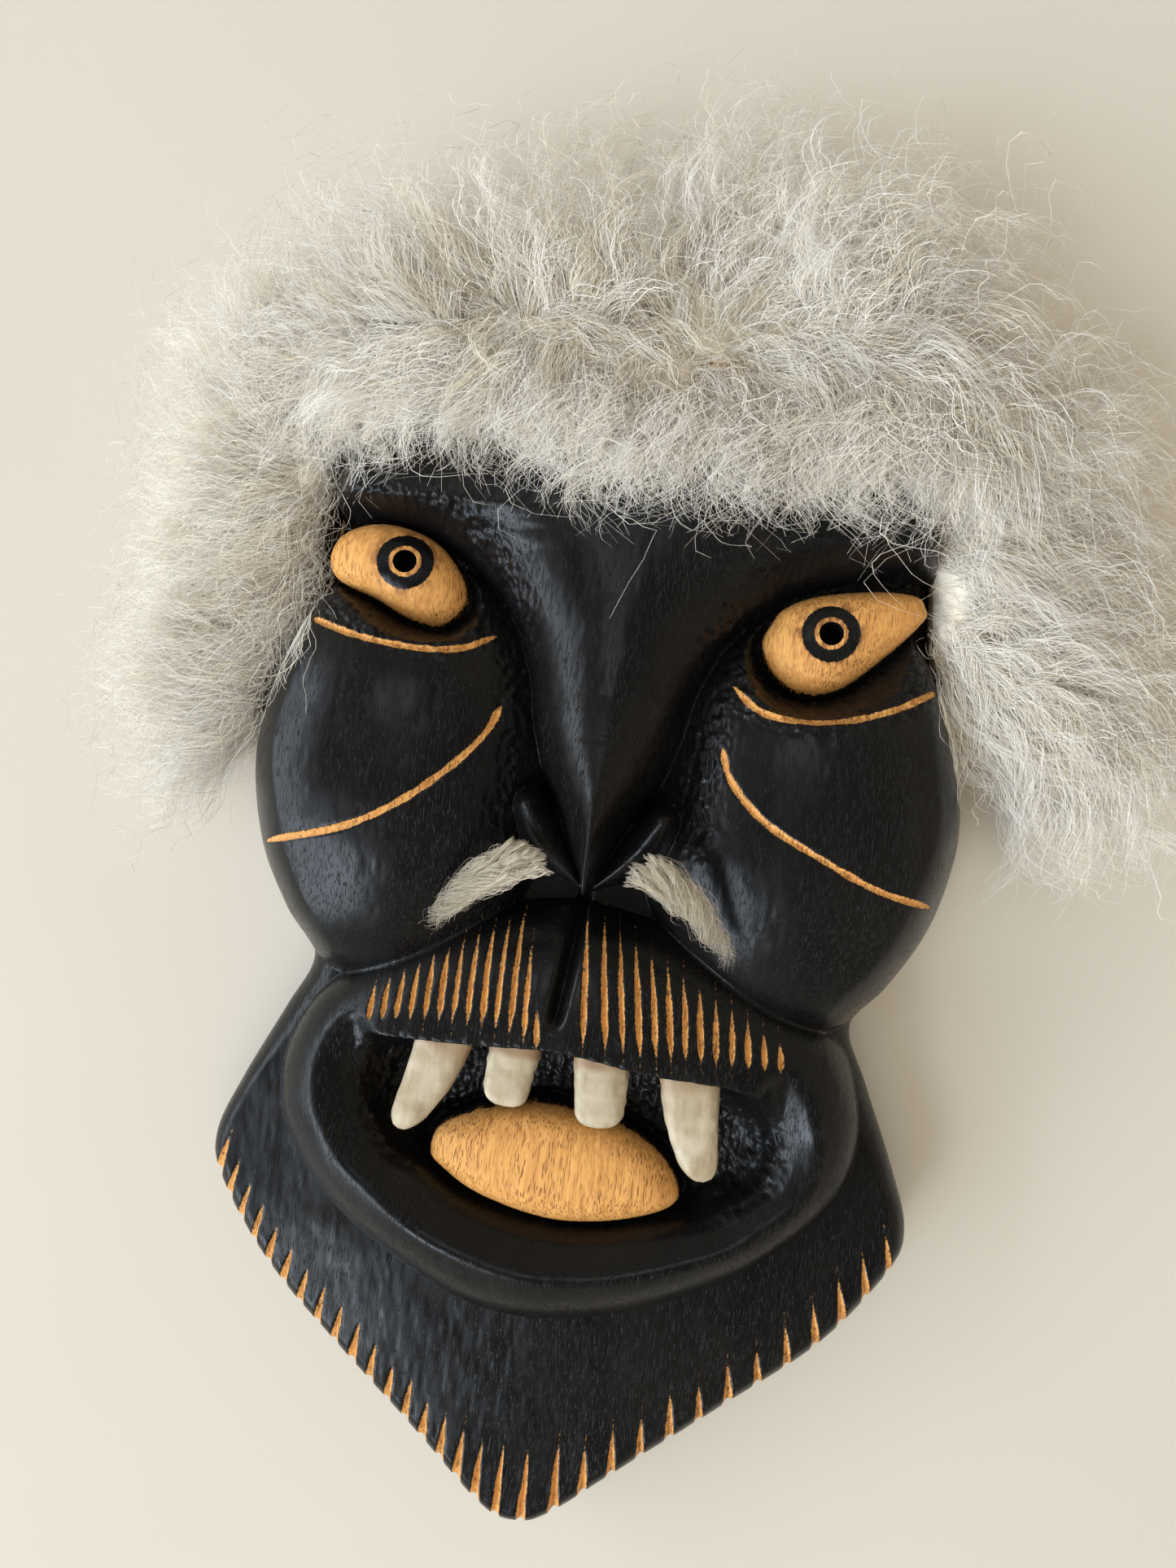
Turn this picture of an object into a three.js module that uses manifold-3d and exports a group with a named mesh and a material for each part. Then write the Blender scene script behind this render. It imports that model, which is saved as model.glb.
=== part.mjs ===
// Carved wooden wall mask with bone teeth, fleece hair and a fleece moustache.
// Millimetres. X is the viewer's right, Z is up, and the face looks along -Y.
// The back rim lies in the plane Y = 0. Shapes are worked out in face space (x, z, and height h off the
// back plane, so Y = -h) and moved down by HANG_Z at the end: the origin is the point the mask hangs from.
import * as THREE from 'three';
import { mergeVertices } from 'three/addons/utils/BufferGeometryUtils.js';
import Module from 'manifold-3d';

const wasm = await Module();
wasm.setup();

const HANG_Z = 99;          // height of the hanging point in face space
const GAP = 0.3;            // clearance between neighbouring pieces
const SIDE_H = 17;          // height of the side wall at the edge of the block
const RIM = 14;             // width of the flat back rim
const ROWS = 46;            // sections down the block
const COLUMNS = 28;         // points across the front of each section
const BACK_COLUMNS = 8;     // points across the back of each section

const matte = (name, color, roughness, metalness = 0) =>
  new THREE.MeshStandardMaterial({ name, color, roughness, metalness });
const BLACK_WOOD = matte('black_stained_wood', 0x17181a, 0.45);
const BONE = matte('bone', 0xcdbf9f, 0.5);
const HIDE = matte('tanned_hide', 0xc9a877, 0.85);
const WOOL = matte('cream_wool', 0xd9d3c6, 0.95);
const STEEL = matte('zinc_steel', 0x9a9da0, 0.4, 0.9);

// ---- small maths ----
const clamp = (t, a = 0, b = 1) => Math.min(b, Math.max(a, t));
const mix = (a, b, t) => a + (b - a) * t;
const ramp = (a, b, x) => { const t = clamp((x - a) / (b - a)); return t * t * (3 - 2 * t); };
function softMax(a, b, k) {
  const t = clamp(0.5 + 0.5 * (a - b) / k);
  return mix(b, a, t) + k * t * (1 - t);
}
const quarter = (d, w) => { const t = clamp(1 - d / w); return Math.sqrt(Math.max(0, 1 - t * t)); };
const dome = (r) => Math.sqrt(Math.max(0, 1 - r * r));
// value at x of the broken line through [x, y] points, x rising
function broken(points, x) {
  if (x <= points[0][0]) return points[0][1];
  for (let i = 1; i < points.length; i++) {
    const [x1, y1] = points[i], [x0, y0] = points[i - 1];
    if (x <= x1) return mix(y0, y1, (x - x0) / (x1 - x0));
  }
  return points[points.length - 1][1];
}
// smooth curve through points of any dimension
function curve(points, steps, before = null, after = null) {
  const n = points.length, d = points[0].length, out = [];
  const first = before ?? points[0].map((v, k) => 2 * v - points[1][k]);
  const last = after ?? points[n - 1].map((v, k) => 2 * v - points[n - 2][k]);
  const q = [first, ...points, last];
  for (let i = 1; i < n; i++) {
    for (let s = 0; s < steps; s++) {
      const t = s / steps, p = [];
      for (let k = 0; k < d; k++) {
        const [a, b, c, e] = [q[i - 1][k], q[i][k], q[i + 1][k], q[i + 2][k]];
        const square = 2 * a - 5 * b + 4 * c - e, cube = 3 * b - a - 3 * c + e;
        p.push(0.5 * (2 * b + (c - a) * t + square * t * t + cube * t * t * t));
      }
      out.push(p);
    }
  }
  out.push([...points[n - 1]]);
  return out;
}
// distance from (x, z) to a broken line
function nearest(line, x, z) {
  let best = Infinity;
  for (let i = 1; i < line.length; i++) {
    const [ax, az] = line[i - 1], dx = line[i][0] - ax, dz = line[i][1] - az;
    const t = clamp(((x - ax) * dx + (z - az) * dz) / (dx * dx + dz * dz));
    best = Math.min(best, Math.hypot(x - ax - t * dx, z - az - t * dz));
  }
  return best;
}
// a closed outline seen from its middle: how far it reaches in every direction
class Star {
  constructor(points) {
    const [xs, zs] = [0, 1].map((k) => points.map((p) => p[k]));
    this.middle = [xs, zs].map((v) => (Math.max(...v) + Math.min(...v)) / 2);
    const line = curve([...points, points[0]], 6, points[points.length - 1], points[1]).slice(0, -1);
    const reach = line.map(([x, z]) => this.polar(x, z)).sort((a, b) => a[0] - b[0]);
    const [first, last] = [reach[0], reach[reach.length - 1]], round = 2 * Math.PI;
    this.reach = [[last[0] - round, last[1]], ...reach, [first[0] + round, first[1]]];
  }
  polar(x, z) {
    const dx = x - this.middle[0], dz = z - this.middle[1];
    return [Math.atan2(dz, dx), Math.hypot(dx, dz)];
  }
  // 0 in the middle, 1 on the outline
  share(x, z) {
    const [angle, away] = this.polar(x, z);
    return away / broken(this.reach, angle);
  }
  point(angle, r) {
    const away = r * broken(this.reach, angle);
    return [this.middle[0] + away * Math.cos(angle), this.middle[1] + away * Math.sin(angle)];
  }
}

// ---- outline of the block: right half, crown to chin ----
const OUTLINE = [[0, 119], [34, 116], [62, 106], [78, 90], [81, 68], [83, 46], [89, 28], [94.5, 8],
  [95.5, -8], [91, -28], [82, -45], [74, -57], [80, -72], [89, -92], [94.5, -108], [91.5, -120],
  [75.5, -141], [53, -160.5], [26.5, -182.5], [9.5, -196.5], [0, -199.5]];
const HALF = curve(OUTLINE, 8, [-34, 116], [-9.5, -196.5]);
const HALF_BY_Z = HALF.map(([x, z]) => [-z, x]);
const edgeX = (z) => broken(HALF_BY_Z, -z);
const edgeDistance = (x, z) => nearest(HALF, Math.abs(x), z);

// ---- relief of the face: tables by -z are read from the crown down to the chin ----
const BROW = [   // half width of brow, bridge and nose
  [-130, 112], [-65, 108], [-63.5, 84], [-62, 70], [-59.5, 56], [-54.5, 44], [-46, 34], [-36, 27],
  [-24, 22.5], [-12, 20], [-3, 16.5], [3, 13.6], [8, 11], [14, 7.8], [19, 5], [24, 2.4], [28, 0.8]];
const NOSE_TOP = [[-119, 40], [-95, 49], [-70, 54], [-45, 55.5], [-20, 58], [5, 65], [24, 72], [28, 73]];
const NOSE_BASE = [[-119, 30], [-70, 34], [-50, 30], [-10, 36], [28, 48]];
const NOSE_BOX = [   // shape across: high is square, 1 is a wedge
  [-119, 2.2], [-60, 1.9], [-30, 1.9], [-8, 1.8], [6, 1.5], [28, 1.15]];
const EDGE_ROUND = [[-100, 12], [-40, 10], [20, 15], [57, 11], [90, 6], [205, 5]];
const EYES = [
  new Star([[-78.8, 49.5], [-76.2, 55.9], [-68.6, 59.6], [-59.2, 59.6], [-49.6, 55.9], [-42.3, 47.6],
    [-41.3, 40.6], [-46.9, 34.8], [-56.1, 35.9], [-64.9, 39.9], [-75.7, 43.8]]),
  new Star([[36.4, 39.7], [38.2, 45.6], [41.6, 50.3], [50.2, 54.2], [65.4, 57], [74.4, 56.8], [77, 54.3],
    [77, 50.3], [67.5, 39.3], [57, 30.1], [47.4, 28.3], [39.8, 32.7]])];
const EYE_BASE = 35.5, EYE_RISE = 9.5;
// egg outline from centre x, z, half length, half height, tilt in degrees, narrowing towards the outer end
function egg(cx, cz, a, b, tilt, narrowing) {
  const w = THREE.MathUtils.degToRad(tilt);
  return new Star(Array.from({ length: 24 }, (_, k) => {
    const t = 2 * Math.PI * k / 24, u = a * Math.cos(t), v = b * Math.sin(t) * (1 - narrowing * Math.cos(t));
    return [cx + u * Math.cos(w) - v * Math.sin(w), cz + u * Math.sin(w) + v * Math.cos(w)];
  }));
}
const SOCKETS = [egg(-57, 46.5, 30, 19.3, 170, 0.1), egg(57, 41, 31.5, 21.2, 16, 0.1)];
const PUPILS = [[-57, 49.3], [52.8, 43.3]];
const MUZZLE = new Star([[-2, -32], [11, -33.5], [24, -36], [37, -40], [50, -47], [62, -55], [72, -63],
  [76, -74], [77.5, -86], [75, -98], [67, -109], [55.5, -119.6], [43.5, -127.1], [31.4, -133.2],
  [19, -137.8], [6.3, -140.5], [-6.6, -141.6], [-20, -139.7], [-31.6, -134.9], [-44.6, -128.1],
  [-56.8, -120.1], [-67.2, -109.6], [-74.4, -97.5], [-75.8, -86.7], [-74, -76.6], [-69, -66], [-60, -57],
  [-49, -48.5], [-39, -42], [-28, -37], [-15, -33.5]]);
const MOUTH = new Star([[-50.9, -85.2], [-49, -75.4], [-42, -71.7], [-20.8, -70.5], [-1.9, -69.5],
  [21.6, -72], [40.4, -73], [49.6, -79.6], [53.6, -87.3], [51.6, -96.8], [44.1, -103.1], [34.4, -108.6],
  [6, -115.1], [-19.6, -112.2], [-33.3, -104.8], [-42.7, -98.7]]);
const LOWER_LIP = [   // height, and share of the mouth outline there
  [26, 0.78], [31, 0.93], [38, 1.03], [41, 1.12], [44.5, 1.28], [49, 1.5], [60, 1.8], [70, 2]];
const UPPER_LIP = [[26, 0.78], [31, 0.9], [35, 0.95], [46, 1.02], [60, 1.09], [70, 1.14]];
const TONGUE = new Star([[-33.1, -101.4], [-31.1, -94.2], [-19, -87.6], [-4.4, -84.9], [12.8, -86.5],
  [26.3, -93], [32.8, -101.5], [31.2, -107], [20.2, -111.7], [5.7, -114.2], [-7.1, -113.5],
  [-20.4, -110.1], [-29.6, -105.1]]);
const WING = curve([[1, -27.8], [7, -22], [12.5, -15.5], [16.5, -9]], 2);      // from the nose tip up and out
const WING_HALF = [[0, 0.8], [0.25, 3.8], [0.5, 5.8], [0.75, 6.2], [1, 5]];    // half width along it
const PHILTRUM = curve([[-1, -31], [-2, -45], [-4, -64]], 3);
function browHeight(x, z) {
  const share = Math.abs(x) / broken(BROW, -z), n = broken(NOSE_BOX, -z), base = broken(NOSE_BASE, -z);
  return share < 1 ? base + (broken(NOSE_TOP, -z) - base) * (1 - share ** n) ** (1 / n) : 0;
}
function relief(x, z) {
  const ax = Math.abs(x);
  let h = 31 - 6 * (ax / 95) ** 2 - 6 * ramp(-125, -205, z);                    // jaw plate
  h = softMax(h, 26 + 31 * dome(Math.hypot((ax - 55) / 45, (z + 3) / 57)), 2);   // cheek
  const muzzle = MUZZLE.share(x, z), middle = 2.5 * Math.exp(-((x / 30) ** 2)) * ramp(-90, -45, z);
  if (muzzle < 1) h = softMax(h, 26 + 26 * (1 - muzzle ** 3) ** 0.45 + middle, 1.2);    // muzzle and lips
  if (z > 24) h = softMax(h, browHeight(x, z) - 1.6 * ramp(48, 36, z), 1.6);     // brow and forehead
  return SIDE_H + Math.max(0, h - SIDE_H) * quarter(edgeDistance(x, z), broken(EDGE_ROUND, -z));
}
// depth of the hollow in the back
function hollow(x, z) {
  const inside = edgeDistance(x, z) - RIM - 10 * ramp(70, 92, z);
  if (inside <= 0) return 0;
  return (13 + 15 * Math.exp(-((x / 46) ** 2) - (((z - 5) / 62) ** 2))) * quarter(inside, 16);
}

// ---- solids ----
function solid(vertices, triangles) {
  return new wasm.Manifold(new wasm.Mesh({
    numProp: 3,
    vertProperties: Float32Array.from(vertices.flat()),
    triVerts: Uint32Array.from(triangles.flat()),
  }));
}
// closed body from equal loops of points, capped at both ends
function loft(loops) {
  const n = loops[0].length, triangles = [], vertices = loops.flat();
  for (let i = 0; i + 1 < loops.length; i++) {
    for (let j = 0; j < n; j++) {
      const a = i * n + j, b = i * n + (j + 1) % n, c = a + n, d = b + n;
      triangles.push([a, c, b], [b, c, d]);
    }
  }
  for (const [row, flip] of [[0, false], [loops.length - 1, true]]) {
    const loop = loops[row], base = row * n;
    const mid = loop.reduce((s, p) => s.map((v, k) => v + p[k] / n), [0, 0, 0]);
    const hub = vertices.push(mid) - 1;
    for (let j = 0; j < n; j++) {
      const a = base + j, b = base + (j + 1) % n;
      triangles.push(flip ? [hub, b, a] : [hub, a, b]);
    }
  }
  const body = solid(vertices, triangles);
  return body.volume() > 0 ? body : solid(vertices, triangles.map(([a, b, c]) => [a, c, b]));
}
// the block, grown by a margin on every side when something else is trimmed against it
function block(margin, rows, columns, backColumns, hollowed) {
  const loops = [], zs = [];
  const top = 118.8, bottom = -199.2;
  for (let i = 0; i <= rows; i++) {
    const t = i / rows;
    zs.push(mix(top, bottom, t - 0.022 * Math.sin(2 * Math.PI * t)));   // closer together at both ends
  }
  for (const [i, z] of zs.entries()) {
    const half = edgeX(z), loop = [];
    const zOut = i === 0 ? z + margin : i === rows ? z - margin : z;
    for (let j = 0; j <= columns; j++) {
      const u = 2 * j / columns - 1, x = half * mix(u, Math.sin(u * Math.PI / 2), 0.12);
      loop.push([x * (1 + margin / half), -(relief(x, z) + margin), zOut]);
    }
    for (let j = 0; j <= backColumns; j++) {
      const u = 1 - 2 * j / backColumns, outer = j === 0 || j === backColumns;
      const share = Math.min(1, Math.abs(u) * backColumns / (backColumns - 2));
      const x = Math.sign(u) * (outer ? half : Math.max(0, half - RIM) * share);
      loop.push([x * (outer ? 1 + margin / half : 1), hollowed ? -hollow(x, z) : margin, zOut]);
    }
    loops.push(loop);
  }
  return loft(loops);
}
// closed tube of oval sections along a path of [x, h, z, radius across, radius deep]
function tube(path, sides = 12) {
  const loops = [];
  path.forEach(([x, h, z, wide, deep], i) => {
    const a = path[Math.max(0, i - 1)], b = path[Math.min(path.length - 1, i + 1)];
    const way = new THREE.Vector3(b[0] - a[0], -(b[1] - a[1]), b[2] - a[2]).normalize();
    const across = new THREE.Vector3(0, 1, 0).cross(way).normalize();
    const deepWay = new THREE.Vector3().crossVectors(way, across);
    const loop = [];
    for (let k = 0; k < sides; k++) {
      const t = 2 * Math.PI * k / sides, c = Math.cos(t) * wide, s = Math.sin(t) * deep;
      const at = new THREE.Vector3(x, -h, z).addScaledVector(across, c).addScaledVector(deepWay, s);
      loop.push(at.toArray());
    }
    loops.push(loop);
  });
  return loft(loops);
}
// body from stations of [outline, scale, h]; the scale may be a function of the angle
function starBody(stations, sides = 24) {
  return loft(stations.map(([star, r, h]) => Array.from({ length: sides }, (_, k) => {
    const angle = 2 * Math.PI * (k + 0.5) / sides - Math.PI;
    const [x, z] = star.point(angle, typeof r === 'function' ? r(angle) : r);
    return [x, -h, z];
  })));
}
// domed body on a straight foot; a high power gives a flat top with a rounded edge
const starDome = (star, low, base, rise, power, sides) => starBody([[star, 1, low], [star, 1, base],
  ...[0.3, 0.55, 0.78, 0.93, 1].map((t) => [star, Math.max(0.12, (1 - t * t) ** (1 / power)), base + rise * t]),
], sides);
// share of the mouth outline at a height: the lower lip slopes, the upper lip stands
function mouthShare(height) {
  return (angle) => {
    const [x, z] = MOUTH.point(angle, 1), upper = ramp(-92, -76, z) * ramp(56, 38, Math.abs(x));
    return mix(broken(LOWER_LIP, height), broken(UPPER_LIP, height), upper);
  };
}
// leaf-shaped wing of the nose on one side, low at the nose tip and widening upwards
function wing(side) {
  const last = WING.length - 1, [bx, bz] = WING[last], [ax, az] = WING[last - 1];
  const l = Math.hypot(bx - ax, bz - az), path = WING.map(([x, z], i) => [side * x, z, i / last, 1]);
  for (const t of [0.45, 0.78, 0.97]) {
    const away = 5 * t / l;
    path.push([side * (bx + (bx - ax) * away), bz + (bz - az) * away, 1, dome(t)]);
  }
  const round = ([x, z, t, share]) => [x, 38, z, broken(WING_HALF, t) * share, (11 + 9 * t) * share];
  return tube(path.map(round), 16);
}
// bridge and nose, in slices that share the brow's profile
function nose() {
  const loops = [];
  for (const z of [50, 45, 40, 34, 28, 20, 12, 5, -2, -8, -13, -18, -22, -25, -27.8]) {
    const half = broken(BROW, -z), n = broken(NOSE_BOX, -z), base = broken(NOSE_BASE, -z);
    const rise = broken(NOSE_TOP, -z) - base - 2.5 * ramp(42, 50, z), loop = [];
    for (let k = 0; k <= 12; k++) {
      const t = Math.PI * (k / 12 - 0.5), s = Math.sin(t), c = Math.max(0, Math.cos(t));
      loop.push([half * Math.sign(s) * Math.abs(s) ** (2 / n), -(base + rise * c ** (2 / n)), z]);
    }
    loop.push([half, -26, z], [-half, -26, z]);
    loops.push(loop);
  }
  return loft(loops);
}
function box(x0, h0, z0, x1, h1, z1) {
  return wasm.Manifold.cube([x1 - x0, h1 - h0, z1 - z0]).translate([x0, -h1, z0]);
}
function rod(x, z, h0, h1, radius, sides = 20) {
  return wasm.Manifold.cylinder(h1 - h0, radius, radius, sides).rotate([90, 0, 0]).translate([x, -h0, z]);
}
const union = (parts) => parts.reduce((a, b) => a.add(b));

function mesh(name, body, material, smooth = true) {
  const raw = body.getMesh(), geometry = new THREE.BufferGeometry();
  const position = new Float32Array(raw.numVert * 3);
  for (let i = 0; i < raw.numVert; i++) {
    for (let k = 0; k < 3; k++) position[3 * i + k] = raw.vertProperties[i * raw.numProp + k];
  }
  geometry.setAttribute('position', new THREE.BufferAttribute(position, 3));
  geometry.setIndex([...raw.triVerts]);
  geometry.translate(0, 0, -HANG_Z);
  const welded = mergeVertices(geometry, 1e-5);
  welded.computeVertexNormals();
  const out = new THREE.Mesh(welded, material);
  out.name = name;
  return out;
}

// ---- teeth ----
// neck x, z and h; tip x, z and h; half width and half depth at the neck; share of them at the tip
const TEETH = {
  tooth_fang_left: [-31.3, -71, 44, -39.6, -93, 47, 7.1, 4.4, 0.5],
  tooth_incisor_left: [-13, -70.5, 44, -13.8, -84, 47, 6.4, 4.0, 0.8],
  tooth_incisor_right: [9, -71, 44, 10, -86.2, 47, 6.9, 4.0, 0.8],
  tooth_fang_right: [31.6, -72.5, 44, 37.5, -95.6, 47, 7.5, 4.6, 0.55],
};
const ROOT = 7;             // length of tooth let into the gum
function tooth([nx, nz, nh, tx, tz, th, wide, deep, tip], margin) {
  const path = [], length = Math.hypot(tx - nx, tz - nz);
  const stops = [-ROOT / length, 0, 0.35, 0.7, 0.88, 0.97, 1];
  const share = [0.86, 1, 0.96, mix(1, tip, 0.62), mix(1, tip, 0.9), tip * 0.8, tip * 0.35];
  stops.forEach((t, i) => {
    const grow = i === 0 ? -margin / length : i === stops.length - 1 ? margin / length : 0;
    path.push([mix(nx, tx, t + grow), mix(nh, th, Math.max(0, t) ** 1.5), mix(nz, tz, t + grow),
      wide * share[i] + margin, deep * share[i] + margin]);
  });
  return tube(path, 14);
}

// ---- carved lines ----
// V cut from one end to the other: lens shaped in plan, or flaring out towards its first end
function cut(x0, z0, x1, z1, wide, deep, flare) {
  const length = Math.hypot(x1 - x0, z1 - z0), ux = (x1 - x0) / length, uz = (z1 - z0) / length;
  const stations = flare ? [0, 0.5, 1] : [0, 0.35, 1];
  const widths = flare ? [1, 0.72, 0.08] : [0.3, 1, 0.12];
  const loops = stations.map((t, i) => {
    const x = mix(x0, x1, t), z = mix(z0, z1, t), h = relief(x, z);
    const d = deep * widths[i], wx = uz * wide * widths[i] / 2, wz = ux * wide * widths[i] / 2;
    return [[x - wx, -(h + 3), z + wz], [x - wx, -(h + 0.05), z + wz], [x, -(h - d), z],
      [x + wx, -(h + 0.05), z - wz], [x + wx, -(h + 3), z - wz]];
  });
  return loft(loops);
}
// V groove along a line of points, fading at both ends
function groove(line, wide, deep) {
  const last = line.length - 1;
  return loft(line.map(([x, z], i) => {
    const [ax, az] = line[Math.max(0, i - 1)], [bx, bz] = line[Math.min(last, i + 1)];
    const l = Math.hypot(bx - ax, bz - az), h = relief(x, z);
    const fade = i === 0 || i === last ? 0.15 : 1, w = wide * fade / 2;
    const nx = -(bz - az) / l * w, nz = (bx - ax) / l * w;
    return [[x + nx, -(h + 4), z + nz], [x + nx, -(h + 0.05), z + nz], [x, -(h - deep * fade), z],
      [x - nx, -(h + 0.05), z - nz], [x - nx, -(h + 4), z - nz]];
  }));
}
const LINES = [   // under the eyes, then across the cheeks
  [[-79, 32], [-65, 28], [-50, 26.5], [-39, 28], [-31, 33]],
  [[81, 32], [69, 25], [58, 21], [47, 19.5], [37, 21], [30, 27]],
  [[-27, 15], [-30, 7], [-37, -2], [-48, -12], [-62, -20], [-84, -26.5]],
  [[29, 11], [32, 3], [41, -6], [55, -13], [70, -19], [86, -22]]];
const LIP_CUTS = 13;        // on each side of the philtrum, which curves to the left
function lipCuts() {
  const cuts = [];
  for (let i = 0; i < LIP_CUTS; i++) {
    const right = 0.8 + 4.3 * i, left = -8.3 - 3.55 * i;
    const lean = 3.9 * Math.exp(-(((right - 9) / 22) ** 2)) + 0.8 * Math.sign(i);
    cuts.push(cut(right, -34.5 - 0.53 * Math.max(0, right - 4), right + lean, -66.7, 1.55, 1.3, false));
    const top = -33.7 - (left > -14 ? 4.3 * (14 + left) : 0.69 * (-14 - left));
    const low = [left + 1.2 * clamp((50 + left) / 32), -64.7 - 0.0075 * (left + 29) ** 2];
    cuts.push(cut(left, top, ...low, 1.5, 1.3, false));
  }
  return cuts;
}
const JAW_CUTS = [   // side, how many, distance between them, where the first one is
  [-1, 18, 6.95, 5], [1, 14, 9.2, 2.4]];
function jawCuts() {
  const cuts = [], line = HALF.slice().reverse();
  for (const [side, count, pitch, first] of JAW_CUTS) {
    let walked = 0, made = 0;
    for (let i = 1; i < line.length && made < count; i++) {
      const [x0, z0] = line[i - 1], [x1, z1] = line[i], l = Math.hypot(x1 - x0, z1 - z0);
      while (made < count && walked + l >= first + pitch * made) {
        const t = (first + pitch * made - walked) / l;
        const x = side * (mix(x0, x1, t) - 0.6), z = mix(z0, z1, t) + 0.6;
        const lean = Math.tan(THREE.MathUtils.degToRad(-14 * x / 90));
        const long = 12.5 + 12 * Math.exp(-Math.abs(x) / 16);
        cuts.push(cut(x, z, x + lean * long, z + long, 2.9, 2.3, true));
        made++;
      }
      walked += l;
    }
  }
  return cuts;
}

// ---- hanger in the back of the crown: a toothed steel plate held by two nails ----
const PLATE = {
  half: 23, low: -1.4, high: 7, face: 1.4, back: 2.2, nailX: 19, nailZ: 3.5, nailR: 0.7, teeth: 13 };
function hangerPlate() {
  const outline = [[-PLATE.half, PLATE.high], [-PLATE.half, PLATE.low]];
  const pitch = 2 * 15 / (PLATE.teeth - 1);
  for (let i = 0; i < PLATE.teeth; i++) {
    const x = -15 + i * pitch;
    if (i > 0) outline.push([x - pitch / 2, PLATE.low]);
    outline.push([x, 0]);
  }
  outline.push([PLATE.half, PLATE.low], [PLATE.half, PLATE.high]);
  let plate = wasm.Manifold.extrude([outline], PLATE.back - PLATE.face).rotate([90, 0, 0])
    .translate([0, -PLATE.face, HANG_Z]);
  for (const s of [-1, 1]) {
    plate = plate.subtract(rod(s * PLATE.nailX, HANG_Z + PLATE.nailZ, 0, 4, PLATE.nailR + GAP));
  }
  return plate;
}
const hangerNail = (s) => rod(s * PLATE.nailX, HANG_Z + PLATE.nailZ, 0.7, 11, PLATE.nailR)
  .add(rod(s * PLATE.nailX, HANG_Z + PLATE.nailZ, 0.3, PLATE.face - GAP, 2));

// ---- hide and wool ----
const CROWN_EDGE = HALF.slice(0, 25);                     // from the middle of the crown to the temple
const crownZ = (x) => broken(CROWN_EDGE, Math.abs(x));
function crownStrip() {
  const loops = [];
  for (let i = 0; i <= 20; i++) {
    const x = mix(-62, 62, i / 20), top = crownZ(x) - 5, loop = [];
    for (let k = 0; k <= 4; k++) loop.push([x, -(relief(x, top - 3.5 * k) + 2.3), top - 3.5 * k]);
    for (let k = 4; k >= 0; k--) loop.push([x, -(relief(x, top - 3.5 * k) - 1.5), top - 3.5 * k]);
    loops.push(loop);
  }
  return loft(loops);
}
function sideStrip(side) {
  const loops = [];
  for (let i = 0; i <= 12; i++) {
    const z = mix(88, 26, i / 12), x = edgeX(z);
    loops.push([[x - 1, -3], [x + 2.3, -3], [x + 2.3, -14], [x - 1, -14]].map(([a, y]) => [side * a, y, z]));
  }
  return loft(loops);
}
// soft body from overlapping tufts [x, h, z, half width, half depth, half height]
const tufts = (list) => union(list.map(([x, h, z, rx, ry, rz]) =>
  wasm.Manifold.sphere(1, 16).rotate([17 + x, 31 + z, 0]).scale([rx, ry, rz]).translate([x, -h, z])));
const FRINGE_TOP = 91;                                    // where the crown fleece starts
const FLEECE = {
  fleece_crown: [box(-140, 0.5, FRINGE_TOP + 0.15, 150, 100, 210), [
    [-118, 26, 108, 27, 24, 28], [-92, 28, 120, 28, 26, 28], [-66, 34, 132, 30, 28, 30],
    [-32, 38, 144, 32, 30, 36], [5, 40, 149, 33, 32, 39], [40, 38, 154, 33, 31, 39],
    [74, 34, 140, 32, 28, 36], [100, 28, 116, 28, 24, 28], [-40, 46, 108, 34, 20, 18],
    [0, 50, 110, 34, 20, 20], [42, 46, 108, 34, 20, 18]]],
  fleece_fringe: [box(-77.7, 20, 60, 77.7, 100, FRINGE_TOP - 0.15), [
    [-58, 46, 86, 22, 19, 17], [-30, 52, 84, 22, 19, 19], [0, 54, 82, 22, 19, 21],
    [30, 54, 84, 22, 18, 19], [58, 48, 86, 22, 18, 18]]],
  fleece_left: [box(-150, 0.5, -40, -78, 70, FRINGE_TOP - 0.15), [
    [-110, 23, 74, 30, 22, 30], [-112, 22, 40, 29, 20, 32], [-108, 18, 8, 27, 17, 28],
    [-102, 13, -12, 16, 12, 15]]],
  fleece_right: [box(78, 0.5, -40, 190, 70, FRINGE_TOP - 0.15), [
    [106, 24, 74, 28, 22, 30], [126, 22, 44, 32, 21, 32], [142, 19, 14, 27, 18, 25],
    [112, 20, 18, 24, 18, 28]]],
};
function moustache(side) {
  const path = [[9, 59, -22, 3.2, 2.6], [14, 60, -21.5, 5.4, 4], [21, 60, -23.5, 5.6, 4.2],
    [27.5, 58.5, -28, 4.6, 3.8], [33, 56, -34, 3, 2.8], [37.5, 54, -41.5, 0.8, 0.8]];
  return tube(path.map(([x, ...rest]) => [side * x, ...rest]), 12);
}

// ---- build ----
const group = new THREE.Group();
group.name = 'carved_wooden_mask';
const add = (name, body, material) => group.add(mesh(name, body, material));

const both = (f) => [f(-1), f(1)];
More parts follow.
